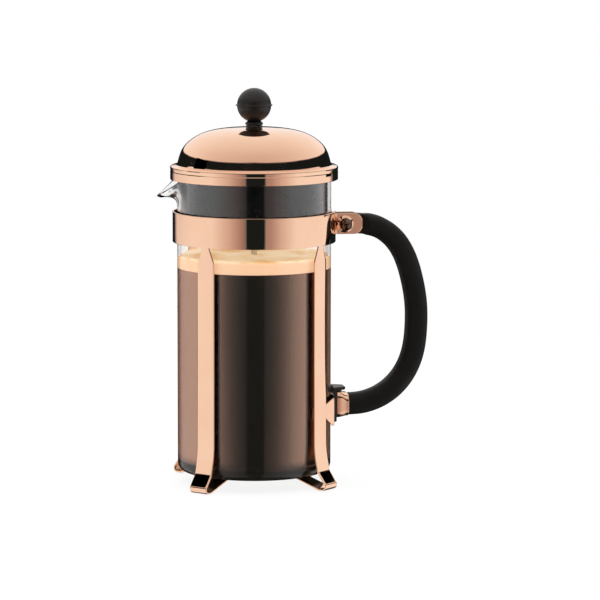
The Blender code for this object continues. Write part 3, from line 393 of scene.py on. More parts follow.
first, last = touch(kink, -1), touch(strap_rise, 1)
last -= 2 * math.pi if last > first else 0.0
lean_in, lean_out = np.linspace(first, -np.pi / 2, 14), np.linspace(-np.pi / 2, last, 10)
roll = np.r_[roll_centre + (foot_flat / 2, 0.0) + roll_r * arrows(lean_in),
             roll_centre - (foot_flat / 2, 0.0) + roll_r * arrows(lean_out)]
upper = rounded([(band_r, band_low + 0.25 * mm), (band_r, band_low - 5 * mm),
                 (band_r, band_low - neck_length), (band_r, 100 * mm), (band_r, 60 * mm),
                 (band_r, 23.5 * mm), kink, roll[0]],
                np.array([0, 0, 0, 0, 0, 60, 0.9, 0]) * mm, 10)
strap = rounded([roll[-1], strap_rise, (18 * mm, strap_rise[1]), (8 * mm, strap_rise[1])],
                np.array([0, 8, 0, 0]) * mm, 8)
line = np.r_[upper[:-1], roll, strap[1:]]
line = line[np.r_[True, np.hypot(*np.diff(line, axis=0).T) > 1e-6]]
run = run_along(line)
close = np.unique(np.r_[run, np.linspace(0.0, 20 * mm, 16), np.linspace(0.0, run[-1], 120)])
line = at_lengths(line, run, close)
step = headed(line, close)
wide = 0.5 * (neck_width + (leg_width - neck_width) * np.clip(close / neck_length, 0, 1))
share, extra, deep = strip_edge(sheet, soft, 11)
# the leg is rolled to the glass's curve at the top and goes flat towards the table
flattest = 0.001
curl = np.clip((line[:, 1] - 20 * mm) / (60 * mm), flattest, 1.0) / band_r
curl = np.where(np.abs(line[:, 0] - band_r) > 0.1 * mm, flattest / band_r, curl)[:, None]
bend = curl * (share * (wide[:, None] - soft) + extra)
out_r, out_z = -step[:, 1:], step[:, :1]
reach = line[:, :1] - (1 - np.cos(bend)) / curl - deep * out_r * np.cos(bend)
aside = np.sin(bend) / curl - deep * out_r * np.sin(bend)
level = line[:, 1:] - deep * out_z + 0 * aside
corners_at = np.radians([45.0, 135.0, 225.0, 315.0])
for corner in corners_at:
    leg = np.dstack([reach * math.cos(corner) - aside * math.sin(corner),
                     reach * math.sin(corner) + aside * math.cos(corner), level])
    frame_skins.append(skin(leg, around=True, caps=True))
frame_sheet = joined("frame_sheet", frame_skins, copper)
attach(frame_sheet, "frame")
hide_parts("frame_shell")


# ---- Joining plate: a round disc with a hole in its middle, under the ends of the four straps.
def turned(profile, facets=192, hexagon=0.0, place=(0.0, 0.0, 0.0), lay="z"):
    """A profile (r, h) turned about an upright axis: x = r cos a, y = r sin a, z = h. Where r is
    past the hexagon's half width, r becomes that width over the cosine of the angle to the
    nearest flat. Laid along y, h runs along y."""
    angle = 2 * np.pi * np.arange(facets) / facets
    r, h = np.array(profile, dtype=float).T
    wide = np.tile(r[:, None], (1, facets))
    if hexagon:
        flat = hexagon / np.cos((angle + np.pi / 6) % (np.pi / 3) - np.pi / 6)
        wide = np.where(wide > hexagon, np.minimum(wide, flat), wide)
    x, y, z = wide * np.cos(angle), wide * np.sin(angle), h[:, None] + 0 * wide
    points = np.dstack([x, y, z] if lay == "z" else [x, z, -y]) + np.array(place)
    return skin(points, around=True, along=r[0] > 0)


plate_edge = rounded([(3.0, 4.7), (18.0, 4.7), (18.0, 5.7), (3.0, 5.7)], 0.25, 4, True) * mm
joining_plate = joined("joining_plate", [turned(plate_edge)], polished_copper("copper_plate"))
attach(joining_plate, "frame")
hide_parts("base_plate")


# ---- Four rivets: copper-plated, flush in the straps and set to a low dome under the plate.
rivet = rounded([(0.0, 3.2), (1.8, 3.35), (2.9, 4.2), (2.9, 4.38), (1.6, 4.4), (1.6, 7.03),
                 (0.0, 7.03)], [0, 1.5, 0.15, 0.05, 0.02, 0.1, 0], 4) * mm
rivet_ring = 12.5 * mm
rivet_skins = [turned(rivet, 40, place=(rivet_ring * math.cos(a), rivet_ring * math.sin(a), 0.0))
               for a in corners_at]
rivets = joined("strap_rivets", rivet_skins, polished_copper("copper_rivets", 0.08, 0.18))
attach(rivets, "frame")
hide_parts("base_rivet_1", "base_rivet_2", "base_rivet_3", "base_rivet_4")


# ---- Cross strap: a thinner copper-plated strap spot-welded inside the two rear legs, wide in
# the middle where the handle's foot block sits against it.
strap_thick, strap_soft, leg_spot = 0.8 * mm, 0.25 * mm, np.array([31.0, 39.1]) * mm
narrow_run, widening = 11.8 * mm, 9.5 * mm
half_plan = rounded([(49.6, 0.0), (49.75, -8.6), (47.0, -23.1), (39.4, -30.7), (31.0, -39.1)],
                    [0, 20, 1.6, 0, 0], 8)
plan = np.r_[half_plan[::-1], half_plan[1:] * (1.0, -1.0)] * mm
run = run_along(plan)
even = np.unique(np.r_[run, np.linspace(0.0, run[-1], 120)])
plan = at_lengths(plan, run, even)
step = headed(plan, even)
# the strap is widened by its distance from the leg
from_leg = np.hypot(plan[:, 0] - leg_spot[0], np.abs(plan[:, 1]) - leg_spot[1])
spread = np.clip((from_leg - narrow_run) / widening, 0.0, 1.0)[:, None]
middle, half = (47.8 - 1.9 * spread) * mm, (3.4 + 5.2 * spread) * mm
share, extra, deep = strip_edge(strap_thick, strap_soft, 5)
level = middle + share * (half - strap_soft) + extra
points = np.dstack([plan[:, :1] - deep * step[:, 1:], plan[:, 1:] + deep * step[:, :1], level])
cross_strap = joined("cross_strap", [skin(points, around=True, caps=True)],
                     polished_copper("copper_strap"))
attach(cross_strap, "frame")
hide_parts("handle_bracket")


# ---- Foot block: black moulded plastic between the strap and the handle's collar, hollowed to
# the strap's curve, with a lip that reaches over the collar.
def moulded_black(name, dark, light, gloss, fine=2600.0, relief=0.25, shine=0.5):
    """Black moulding: fine spark-eroded grain in the surface, with faintly shinier patches
    where it is handled."""
    finish, tree, shader = new_finish(name)
    shader.inputs["Specular IOR Level"].default_value = shine
    pores, worn = grain(tree, fine, 3.0), grain(tree, 60.0, 4.0)
    tree.links.new(tinted(tree, worn, dark, light), shader.inputs["Base Color"])
    tree.links.new(ranged(tree, worn, 0.3, 0.75, gloss + 0.06, gloss - 0.08),
                   shader.inputs["Roughness"])
    tree.links.new(raised(tree, pores, relief, 0.06 * mm), shader.inputs["Normal"])
    return finish


block_half, block_edge, hollow_r, lip_start = 8.6 * mm, 0.9 * mm, 49.9 * mm, 51.2 * mm
outline = rounded([(49.9, 37.2), (51.2, 37.2), (51.2, 57.5), (57.4, 57.5), (57.4, 59.0),
                   (49.9, 59.0)], [0.3, 0.3, 0.3, 0.4, 0.6, 0.6], 5, True) * mm
turning = np.linspace(0.0, np.pi / 2, 7)
rounding = block_edge * (1 - np.sin(turning))
inset = np.r_[rounding, np.zeros(7), rounding[::-1]]
aside = np.r_[-block_half + block_edge * (1 - np.cos(turning)),
              np.linspace(-block_half + block_edge, block_half - block_edge, 9)[1:-1],
              (block_half - block_edge * (1 - np.cos(turning)))[::-1]]
x = np.tile(outline[:, 0], (len(aside), 1))
x = x - inset[:, None] * 0.5 * np.clip((x - 52 * mm) / (5 * mm), 0, 1)
z = outline[:, 1] + inset[:, None] * np.where(outline[:, 1] < 48 * mm, 1.2, -0.6)
# hollow is how far a circle of hollow_r falls back from its middle
hollow = hollow_r - np.sqrt(hollow_r ** 2 - aside ** 2)
x = x - hollow[:, None] * np.clip(1 - (x - hollow_r) / (1.3 * mm), 0, 1)
tapered = 1.0 - 0.45 * np.clip((outline[:, 0] - lip_start) / (1.5 * mm), 0, 1)
points = np.dstack([x, aside[:, None] * tapered, z])
block_black = moulded_black("black_block", (0.010, 0.010, 0.009), (0.016, 0.015, 0.014), 0.42)
foot_block = joined("foot_block", [skin(points, around=True, caps=True)], block_black)
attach(foot_block, "frame")
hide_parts("handle_foot")


# ---- Collar: a drawn copper-plated ferrule, wide where it meets the block and closed down on
# the handle's end.
def round_box(half_w, half_h, corner, steps=7):
    """Outline of a rounded rectangle about the origin: four quarter circles of the corner's
    radius, each round its own centre."""
    quarter = np.linspace(0.0, np.pi / 2, steps)
    angle = (quarter + np.pi / 2 * np.arange(4)[:, None]).reshape(-1)
    side_w = np.repeat([1.0, -1.0, -1.0, 1.0], steps)
    side_h = np.repeat([1.0, 1.0, -1.0, -1.0], steps)
    half_w, half_h, corner = (np.atleast_1d(v)[:, None] for v in (half_w, half_h, corner))
    return (side_w * (half_w - corner) + corner * np.cos(angle),
            side_h * (half_h - corner) + corner * np.sin(angle))


collar_z = 47.5 * mm
wall = rounded([(51.5, 0.0), (59.2, 0.0), (59.2, 1.0), (51.5, 1.0)], 0.35, 5, True) * mm
wall = np.r_[wall, wall[:1]]
run = run_along(wall)
even = np.unique(np.r_[run, np.linspace(0.0, run[-1], 60)])[:-1]
along, inward = at_lengths(wall, run, even).T
# flare falls by a half cosine from 1 at the block to 0 at the handle
flare = 0.5 + 0.5 * np.cos(np.pi * np.clip((along - 52.3 * mm) / (6.4 * mm), 0, 1))
y, z = round_box(8.4 * mm + 0.6 * mm * flare - inward, 7.1 * mm + 1.65 * mm * flare - inward,
                 5.0 * mm - inward)
points = np.dstack([along[:, None] + 0 * y, y, z + collar_z + 0.75 * mm * flare[:, None]])
collar = joined("handle_ferrule", [skin(points, around=True, along=True)],
                polished_copper("copper_collar"))
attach(collar, "frame")
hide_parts("handle_collar")


# ---- Handle: one bent bar of matt black plastic, a flat lug between the ears at the top, a
# round-cornered grip, and a spigot inside the collar at the bottom.
def smooth_line(points, samples):
    """Natural cubic curve through points: between two of them each coordinate is a cubic of the
    straight-line length so far, and the bends at the points solve the three-term equations
    that make the bend run on without a step."""
    p = np.array(points, dtype=float)
    t = run_along(p)
    h, n = np.diff(t), len(p)
    system, rhs = np.eye(n), np.zeros_like(p)
    inner = np.arange(1, n - 1)
    system[inner, inner - 1], system[inner, inner + 1] = h[:-1], h[1:]
    system[inner, inner] = 2 * (h[:-1] + h[1:])
    rhs[1:-1] = 6 * (np.diff(p[1:], axis=0) / h[1:, None] - np.diff(p[:-1], axis=0) / h[:-1, None])
    bend = np.linalg.solve(system, rhs)
    s = np.linspace(0.0, t[-1], samples)
    k = np.clip(np.searchsorted(t, s) - 1, 0, n - 2)
    a, b, w = (t[k + 1] - s)[:, None], (s - t[k])[:, None], h[k][:, None]
    return (bend[k] * a ** 3 / (6 * w) + bend[k + 1] * b ** 3 / (6 * w)
            + (p[k] / w - bend[k] * w / 6) * a + (p[k + 1] / w - bend[k + 1] * w / 6) * b)


line = smooth_line([(52.6, 162.1), (67.4, 161.6), (76.0, 160.1), (83.4, 156.4), (90.6, 149.6),
                    (96.2, 139.8), (100.4, 126.5), (103.2, 109.8), (103.3, 95.0), (101.4, 80.2),
                    (96.4, 67.6), (88.0, 57.4), (77.0, 50.6), (66.8, 47.9), (59.5, 47.5)],
                   190) * mm
step = headed(line)
step[-1] = (-1.0, 0.0)
# grip is 0 at the flat lug and 1 along the grip, and blends the two sections
lug_z, lug_out, lug_blend = 162.1 * mm, 68.2 * mm, 4.5 * mm
grip = np.clip((line[:, 0] - lug_out) / lug_blend, 0, 1)
grip = np.where(line[:, 1] > 105 * mm, grip * grip * (3 - 2 * grip), 1.0)
across, thick = round_box(4.9 * mm + 3.1 * mm * grip, 6.2 * mm + 0.6 * mm * grip,
                          1.2 * mm + 4.7 * mm * grip)
x = line[:, :1] - thick * step[:, 1:]
z = line[:, 1:] + thick * step[:, :1]
ends_in = np.array([59.3, 59.1, 53.2]) * mm
shrink_y, shrink_z = round_box(np.array([7.9, 7.1, 7.1]) * mm, np.array([6.7, 5.8, 5.8]) * mm,
                               np.array([5.7, 3.7, 3.7]) * mm)
x = np.r_[x, ends_in[:, None] + 0 * shrink_y]
across, z = np.r_[across, shrink_y], np.r_[z, collar_z - shrink_z]
top = np.dstack([x[:1] + 0.0, 0.82 * across[:1], lug_z + 0.86 * (z[:1] - lug_z)])
top[..., 0] -= 0.7 * mm
points = np.concatenate([top, np.dstack([x, across, z])])
grip_bar = joined("grip_bar", [skin(points, around=True, caps=True)],
                  moulded_black("black_grip", (0.0045, 0.0042, 0.0036), (0.0065, 0.0060, 0.0052),
                                0.62, 2200.0, 0.35, 0.22))
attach(grip_bar, "frame")
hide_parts("handle")


# ---- Clamp screw: plated steel, a low round head with a hexagon socket on the far ear.
screw_spot = (56.4 * mm, 0.0, 162.0 * mm)
head = rounded([(0.0, -12.8), (1.6, -12.8), (2.0, -12.3), (2.0, 6.5), (3.9, 6.5), (3.9, 7.6),
                (2.9, 8.9), (1.55, 9.3)], [0, 0, 0, 0, 0.2, 1.2, 1.5, 0], 5)
socket = np.array([(1.35, 9.3), (1.35, 7.4), (0.0, 7.2)])
bolt = turned(np.r_[head, socket] * mm, 60, place=screw_spot, lay="y")
clamp_screw = joined("clamp_bolt", [bolt], polished_copper("copper_screw", 0.06, 0.14))
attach(clamp_screw, "frame")
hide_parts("clamp_screw")


# ---- Dished washer: pressed copper-plated cup under the nut, its rim on the near ear.
dish = rounded([(2.3, -8.05), (2.3, -7.45), (3.4, -7.4), (4.9, -6.52), (5.35, -6.5), (5.4, -7.0),
                (3.7, -8.1)], [0.1, 0.1, 0.8, 0.2, 0.15, 0.25, 1.0], 5, True) * mm
dish_washer = joined("dish_washer", [turned(dish, 96, place=screw_spot, lay="y")],
                     polished_copper("copper_washer"))
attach(dish_washer, "frame")
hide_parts("clamp_washer")


# ---- Cap nut: six flats, chamfered corners and a closed domed end towards the front.
dome = np.radians(np.linspace(90.0, 12.0, 14))
cap = np.r_[(0.0, -11.7) + (3.35, -3.45) * arrows(dome),
            rounded([(3.3, -11.5), (3.6, -11.45), (4.25, -11.1), (4.25, -8.95), (3.75, -8.62),
                     (2.2, -8.6)], [0, 0.1, 0.2, 0.2, 0.1, 0], 4), [(2.15, -13.7), (0.0, -13.7)]]
# the copper's colour is scaled down to 0.14 of its own: painted shade that stands in for the dark
# surroundings the nut reflects
cap_nut = joined("cap_nut", [turned(cap * mm, 96, 3.8 * mm, screw_spot, "y")],
                 polished_copper("copper_nut", 0.12, 0.22, 0.14), 25.0)
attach(cap_nut, "frame")
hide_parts("clamp_nut")


# ---- Beaker: blown borosilicate glass with a fire-polished rim, a rounded foot corner, a pushed-up
# bottom and a spout drawn out by hand at the front of the rim.
def clear_glass(name):
    """Colourless glass with a trace of green in its thickness, faint blowing waves and a thin
    film of finger marks that softens the gloss in places."""
    finish, tree, shader = new_finish(name)
    shader.inputs["Transmission Weight"].default_value = 1.0
    shader.inputs["IOR"].default_value = 1.47
    waves, marks = grain(tree, 35.0, 1.0, (1.0, 1.0, 0.4)), grain(tree, 120.0, 5.0)
    tree.links.new(tinted(tree, waves, (0.975, 0.985, 0.98), (0.99, 0.995, 0.993)),
                   shader.inputs["Base Color"])
    tree.links.new(ranged(tree, marks, 0.45, 0.85, 0.0, 0.012), shader.inputs["Roughness"])
    tree.links.new(raised(tree, waves, 0.06, 0.1 * mm), shader.inputs["Normal"])
    return finish


glass_r, glass_wall, rim_z = 48.0 * mm, 1.8 * mm, 195.5 * mm
spout_root, spout_half = 172.0 * mm, math.radians(19.0)
foot_out = rounded([(0.0, 8.1), (24.0, 8.1), (38.0, 7.3), (48.0, 7.3), (48.0, 171.0)],
                   [0, 30, 6, 11, 0], 10) * mm
foot_in = rounded([(46.2, 171.0), (46.2, 9.5), (34.0, 9.5), (22.0, 10.3), (0.0, 10.3)],
                  [0, 9.2, 10, 30, 0], 10) * mm
spout_z = np.linspace(spout_root, rim_z, 44)
outer_tip = np.array([[0, 0], [0.5, 3.6], [2.0, 6.4], [5.0, 7.7], [8.2, 7.9], [11.2, 7.8],
                      [13.0, 8.6]]) * mm
inner_tip = np.array([[0, 1.0], [0.6, 5.2], [2.6, 8.4], [6.0, 9.5], [9.4, 9.6], [12.0, 9.7],
                      [13.8, 9.8]]) * mm
out_row, in_row = (smooth_line(tip, len(spout_z)) for tip in (outer_tip, inner_tip))
glass_sides = 360
around = np.linspace(-np.pi, np.pi, glass_sides + 1)[:-1]
# pull is 1 at the spout's middle and 0 at its sides; a ring moves out by pull times the tip's
# own line, and its height goes over to the tip's by the share sink
share = np.clip(1 - np.abs(around) / spout_half, 0, 1)
pull = np.clip(share, 1e-6, 1) ** 1.35
sink = np.clip(pull, 1e-6, 1) ** 0.61
pull, sink = np.where(share > 0, pull, 0.0), np.where(share > 0, sink, 0.0)
spout_r = glass_r + pull[:, None] * out_row[None, :, 0]
spout_h = spout_z + sink[:, None] * (spout_root + out_row[None, :, 1] - spout_z)
inner_r = glass_r - glass_wall + pull[:, None] * in_row[None, :, 0]
inner_h = spout_z + sink[:, None] * (spout_root + in_row[None, :, 1] - spout_z)
swell = np.linspace(0.0, np.pi, 9)[1:-1]
last_r, last_h, last_in_r, last_in_h = (a[:, -1:] for a in (spout_r, spout_h, inner_r, inner_h))
half_r, half_h = 0.5 * (last_r - last_in_r), 0.5 * (last_h - last_in_h)
edge_r = 0.5 * (last_r + last_in_r) + half_r * np.cos(swell) - half_h * 0.5 * np.sin(swell)
edge_h = (0.5 * (last_h + last_in_h) + half_h * np.cos(swell)
          + 0.5 * np.abs(half_r) * np.sin(swell))
r, z = (np.hstack([np.tile(foot_out[:, k], (glass_sides, 1)), outer, edge, inner[:, ::-1],
                   np.tile(foot_in[:, k], (glass_sides, 1))])
        for k, outer, edge, inner in ((0, spout_r, edge_r, inner_r), (1, spout_h, edge_h, inner_h)))
points = np.dstack([-r * np.cos(around)[:, None], -r * np.sin(around)[:, None], z])
blown_glass = joined("blown_glass", [skin(points, along=True)], clear_glass("clear_glass"), 60.0)
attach(blown_glass, "glass")
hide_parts("beaker")


# ---- Coffee: what the press holds, black and opaque, against the glass all round.
coffee_r, coffee_top, foam_top = 46.22 * mm, 135.4 * mm, 144.0 * mm
inside = foot_in[::-1] + np.array([0.02, -0.02]) * mm
wet = np.r_[inside[inside[:, 1] < 60 * mm], [(coffee_r, 100 * mm), (coffee_r, coffee_top),
                                            (0.0, coffee_top)]]
brew, tree, shader = new_finish("black_coffee")
cloud = grain(tree, 30.0, 3.0, (1.0, 1.0, 0.4))
tree.links.new(tinted(tree, cloud, (0.032, 0.032, 0.027), (0.044, 0.042, 0.035)),
               shader.inputs["Base Color"])
tree.links.new(ranged(tree, cloud, 0.3, 0.7, 0.10, 0.16), shader.inputs["Roughness"])
# the high IOR and the orange specular tint colour the painted sheen below
shader.inputs["IOR"].default_value = 3.0
shader.inputs["Specular Tint"].default_value = (1.0, 0.54, 0.36, 1.0)
# painted sheen: an orange-tinted reflection, strongest where the side turns away, stands in for the
# brown light that comes through the coffee at the glass; it is faded out at the foot and a little
# to the rear
slant = tree.nodes.new("ShaderNodeLayerWeight")
place = tree.nodes.new("ShaderNodeSeparateXYZ")
tree.links.new(tree.nodes.new("ShaderNodeTexCoord").outputs["Object"], place.inputs[0])
painted_sheen_fade = ranged(tree, place.outputs["X"], -30 * mm, 15 * mm, 1.0, 0.85)
sheen = stops(tree, slant.outputs["Facing"], [(0.0, 0.0), (0.012, 0.02), (0.03, 0.11),
                                              (0.087, 0.55), (0.16, 0.9), (0.24, 1.0)])
painted_sheen_fade = worked(tree, "MULTIPLY", painted_sheen_fade, ranged(tree, place.outputs["Z"], 12 * mm, 20 * mm))
tree.links.new(worked(tree, "MULTIPLY", sheen, painted_sheen_fade), shader.inputs["Specular IOR Level"])
coffee = joined("coffee", [turned(wet, 256)], brew)
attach(coffee, "glass")


# ---- Foam: pale crema on the coffee, bubbles at its edge and browner patches on top.
foam_r, spokes = 46.0 * mm, 256
rings = np.linspace(0.0, foam_r, 70)
angle = 2 * np.pi * np.arange(spokes) / spokes
x, y = rings[:, None] * np.cos(angle), rings[:, None] * np.sin(angle)
# large and small crossed sine waves lift the top, which climbs a little at the glass
large = (np.sin(x / (3.1 * mm) + 1.3 * np.sin(y / (2.3 * mm)))
         * np.sin(y / (3.7 * mm) + x / (5 * mm)))
small = np.sin(x / (1.3 * mm) - y / (1.9 * mm)) * np.sin(y / (1.1 * mm) + 0.7)
top = (foam_top - 0.9 * mm + 0.25 * mm * (large + 0.6 * small)
       + 0.5 * mm * (rings[:, None] / foam_r) ** 6)
side_r = np.array([46.22, 46.22, 46.22, 46.22, 46.1, 30.0, 0.0]) * mm
wave = 0.35 * mm * np.sin(7 * angle) * np.sin(3 * angle + 1)
side_z = (np.array([143.2, 141.0, 138.0, 135.46, 135.42, 135.42, 135.42]) * mm)[:, None] + 0 * wave
side_z[0] = side_z[0] + 0.7 * wave
r = np.r_[rings, side_r]
points = np.dstack([r[:, None] * np.cos(angle), r[:, None] * np.sin(angle), np.r_[top, side_z]])
crema, tree, shader = new_finish("crema")
patch, bubble = grain(tree, 42.0, 5.0, (1.0, 1.0, 0.7)), grain(tree, 420.0, 3.0)
mixed = worked(tree, "ADD", worked(tree, "MULTIPLY", patch, 0.75),
               worked(tree, "MULTIPLY", bubble, 0.25))
surface = tinted(tree, mixed, (0.96, 0.71, 0.44), (0.80, 0.43, 0.17), 0.46, 0.60)
body = tinted(tree, mixed, (0.92, 0.63, 0.42), (0.90, 0.58, 0.35), 0.35, 0.65)
place = tree.nodes.new("ShaderNodeSeparateXYZ")
tree.links.new(tree.nodes.new("ShaderNodeTexCoord").outputs["Object"], place.inputs[0])
choice = tree.nodes.new("ShaderNodeMix")
choice.data_type = "RGBA"
tree.links.new(ranged(tree, place.outputs["Z"], 142.0 * mm, 143.0 * mm),
               choice.inputs["Factor"])
first_colour, second_colour, mixed_colour = choice.inputs[6], choice.inputs[7], choice.outputs[2]
tree.links.new(body, first_colour)
tree.links.new(surface, second_colour)
tree.links.new(mixed_colour, shader.inputs["Base Color"])
# painted light: the foam glows in its own colour, brighter towards the top, in place of the light
# that scatters in real foam
tree.links.new(mixed_colour, shader.inputs["Emission Color"])
shader.inputs["Roughness"].default_value = 0.6
tree.links.new(raised(tree, bubble, 0.5, 0.4 * mm), shader.inputs["Normal"])
tree.links.new(ranged(tree, place.outputs["Z"], 141.0 * mm, 143.2 * mm, 0.66, 0.86),
               shader.inputs["Emission Strength"])
foam = joined("foam", [skin(points, around=True)], crema)
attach(foam, "glass")


# ---- Lid: one deep-drawn copper-plated pressing, a dome with a hole for the bush, a rolled bead
# and a straight rim that drops over the glass.
dome = smooth_line([(4.2, 222.75), (14.1, 222.35), (25.2, 221.0), (33.2, 218.6), (40.4, 214.2),
                    (44.2, 210.2), (46.3, 205.9), (47.5, 201.8), (47.95, 200.2)], 110)
rim = rounded([(47.95, 200.2), (48.1, 199.2), (52.5, 199.2), (52.15, 195.95), (52.3, 195.5),
               (52.3, 190.5), (51.5, 190.5), (51.5, 198.4), (47.3, 198.4), (47.1, 200.0)],
              [0, 0.7, 1.75, 0.15, 0.4, 0.35, 0.35, 0.7, 0.4, 0], 10)
below = smooth_line([(4.2, 221.95), (14.0, 221.55), (25.0, 220.2), (32.9, 217.9), (39.9, 213.6),
                     (43.5, 209.8), (45.6, 205.6), (46.7, 201.6), (47.1, 200.0)], 60)
lid_shell = joined("lid_pressing", [turned(np.r_[dome[:-1], rim, below[::-1][1:]] * mm, 288)],
                   polished_copper("copper_lid"))
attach(lid_shell, "lid")
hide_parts("lid_cover")


# ---- Liner: black moulded plug under the dome, a web, a flange on the glass's edge and a skirt in
# the glass with nine pouring slots on one side.
skirt_in, skirt_out, skirt_low = 44.35, 45.85, 160.0
profile = rounded([(4.2, 195.8), (skirt_in, 195.8), (skirt_in, skirt_low), (skirt_out, skirt_low),
                   (skirt_out, 195.8), (51.15, 195.8), (51.15, 198.2), (47.6, 198.2),
                   (46.2, 197.4), (4.2, 197.4)],
                  [0.2, 0.6, 0.4, 0.4, 0.4, 0.4, 0.5, 0.4, 0.4, 0.2], 4, True) * mm
# More rows on the skirt's sides give the slots their ends: a slot takes two rows of faces out
# of each side, and walls join the two openings, which slope down inwards.
levels = np.array([160.9, 165.0, 170.0, 174.0, 182.0, 190.0, 192.5, 194.8]) * mm
lowest = profile[:, 1] < (skirt_low + 2.0) * mm
first_in = np.flatnonzero((np.abs(profile[:, 0] - skirt_in * mm) < 1e-8) & lowest)[0]
last_out = np.flatnonzero((np.abs(profile[:, 0] - skirt_out * mm) < 1e-8) & lowest)[-1]
profile = np.r_[profile[:first_in], np.c_[0 * levels + skirt_in * mm, levels[::-1]],
                profile[first_in:last_out + 1], np.c_[0 * levels + skirt_out * mm, levels],
                profile[last_out + 1:]]
low_in, low_out = first_in + 3, last_out + 1 + len(levels) + 3
slots = np.pi + np.radians(4.2) * (np.arange(9) - 4)
half_slot = 0.8 / (0.5 * (skirt_in + skirt_out))
around = np.r_[np.linspace(0, 2 * np.pi, 241)[:-1], slots - half_slot, slots + half_slot]
around = np.unique(np.round(around, 6))
between = 0.5 * (around + np.r_[around[1:], 2 * np.pi])
opened = (np.abs(between - slots[:, None]) < half_slot).any(0)
r, z = profile.T
points = np.dstack([r[:, None] * np.cos(around), r[:, None] * np.sin(around),
                    z[:, None] + 0 * around])
flat, quads, _ = skin(points, around=True, along=True)
quads = quads.reshape(len(r), len(around), 4)
keep = np.ones(quads.shape[:2], bool)
keep[low_in:low_in + 2, opened] = False
keep[low_out:low_out + 2, opened] = False
index = np.arange(len(r) * len(around)).reshape(len(r), len(around))
starts, ends_at = np.flatnonzero(opened), (np.flatnonzero(opened) + 1) % len(around)
walls = []
for column, goes_on in ((starts, opened[starts - 1]), (ends_at, opened[ends_at])):
    column = column[~goes_on]
    for k in (0, 1):
        rows = (low_out + k, low_out + k + 1, low_in + 1 - k, low_in + 2 - k)
        walls.append(np.stack([index[row, column] for row in rows], axis=1))
for out_at, in_at in ((low_out, low_in + 2), (low_out + 2, low_in)):
    walls.append(np.stack([index[out_at, starts], index[out_at, ends_at],
                           index[in_at, ends_at], index[in_at, starts]], axis=1))
quads = np.vstack([quads[keep]] + walls)
plug_black = moulded_black("black_plug", (0.012, 0.009, 0.0085), (0.017, 0.013, 0.012), 0.24,
                           1500.0, 0.12)
plug = joined("lid_plug", [(flat, quads, [])], plug_black)
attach(plug, "lid")
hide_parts("lid_liner")


# ---- Bush: black nylon guide snapped into the dome's hole, a low collar above it and a tapered
# snap below; the lid turns on it and the rod slides in it.
profile = rounded([(2.2, 193.0), (3.4, 193.0), (4.0, 194.0), (4.0, 208.0), (5.8, 219.2),
                   (6.2, 220.6), (6.0, 221.65), (4.0, 221.65), (4.0, 223.05), (5.3, 223.05),
                   (5.2, 223.85), (2.2, 223.85)],
                  [0.2, 0.4, 0.6, 4, 1, 0.5, 0.15, 0.05, 0.05, 0.1, 0.4, 0.2], 4, True) * mm
guide = joined("rod_guide", [turned(profile, 96)],
               moulded_black("black_guide", (0.018, 0.017, 0.016), (0.026, 0.024, 0.022), 0.35))
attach(guide, "bush")
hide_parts("rod_bush")


# ---- Knob: hollow-footed phenolic ball with the mould's flash ridge left as a thin ring round
# its middle, on a short waisted neck.
ball_r, ball_z = 10.65, 236.5
ball, crown = ((0.0, ball_z) + ball_r * arrows(np.radians(np.linspace(*span)))
               for span in ((-67.5, -3.5, 34), (3.5, 90.0, 44)))
neck = rounded([(3.35, 224.15), (5.1, 224.15), (5.6, 224.8), (5.25, 225.8), (4.2, 226.5),
                (4.0, 226.9)], [0.0, 0.3, 0.6, 0.7, 1.2, 0], 5)
seam = rounded([(10.62, 235.9), (10.75, 236.13), (11.42, 236.17), (11.42, 236.83),
                (10.75, 236.87), (10.62, 237.1)], [0, 0.2, 0.2, 0.2, 0.2, 0], 4)
profile = np.r_[neck, ball[1:], seam, crown[:-1],
                [(0.0, ball_z + ball_r), (0.0, 239.4), (3.35, 239.4)]]
ball_knob = joined("ball_knob", [turned(profile * mm, 144)],
                   moulded_black("black_knob", (0.0060, 0.0050, 0.0045), (0.0090, 0.0075, 0.0068),
                                 0.42, 1800.0, 0.15, 0.45))
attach(ball_knob, "plunger")
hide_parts("knob")


# ---- Insert: knurled brass thread insert moulded into the knob.
def worked_metal(name, dark, light, gloss_low, gloss_high, stretch=(1.0, 1.0, 1.0)):
    """Bare metal: cloudy colour, uneven gloss, and fine tool or drawing marks that follow the
    stretch."""
    finish, tree, shader = new_finish(name)
    shader.inputs["Metallic"].default_value = 1.0
    cloud, marks = grain(tree, 70.0, 4.0), grain(tree, 900.0, 3.0, stretch)
    tree.links.new(tinted(tree, cloud, dark, light), shader.inputs["Base Color"])
    tree.links.new(ranged(tree, marks, 0.3, 0.7, gloss_low, gloss_high),
                   shader.inputs["Roughness"])
    tree.links.new(raised(tree, marks, 0.15, 0.03 * mm), shader.inputs["Normal"])
    return finish


profile = rounded([(2.15, 228.0), (2.8, 228.0), (3.2, 228.5), (3.2, 233.0), (2.8, 233.3),
                   (2.8, 233.9), (3.2, 234.2), (3.2, 238.6), (2.8, 239.1), (2.15, 239.1)],
                  0.15, 3, True) * mm
brass = worked_metal("brass_insert", (0.66, 0.47, 0.19), (0.78, 0.60, 0.30), 0.2, 0.35)
brass_insert = joined("brass_insert", [turned(profile, 72)], brass)
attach(brass_insert, "plunger")
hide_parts("knob_insert")


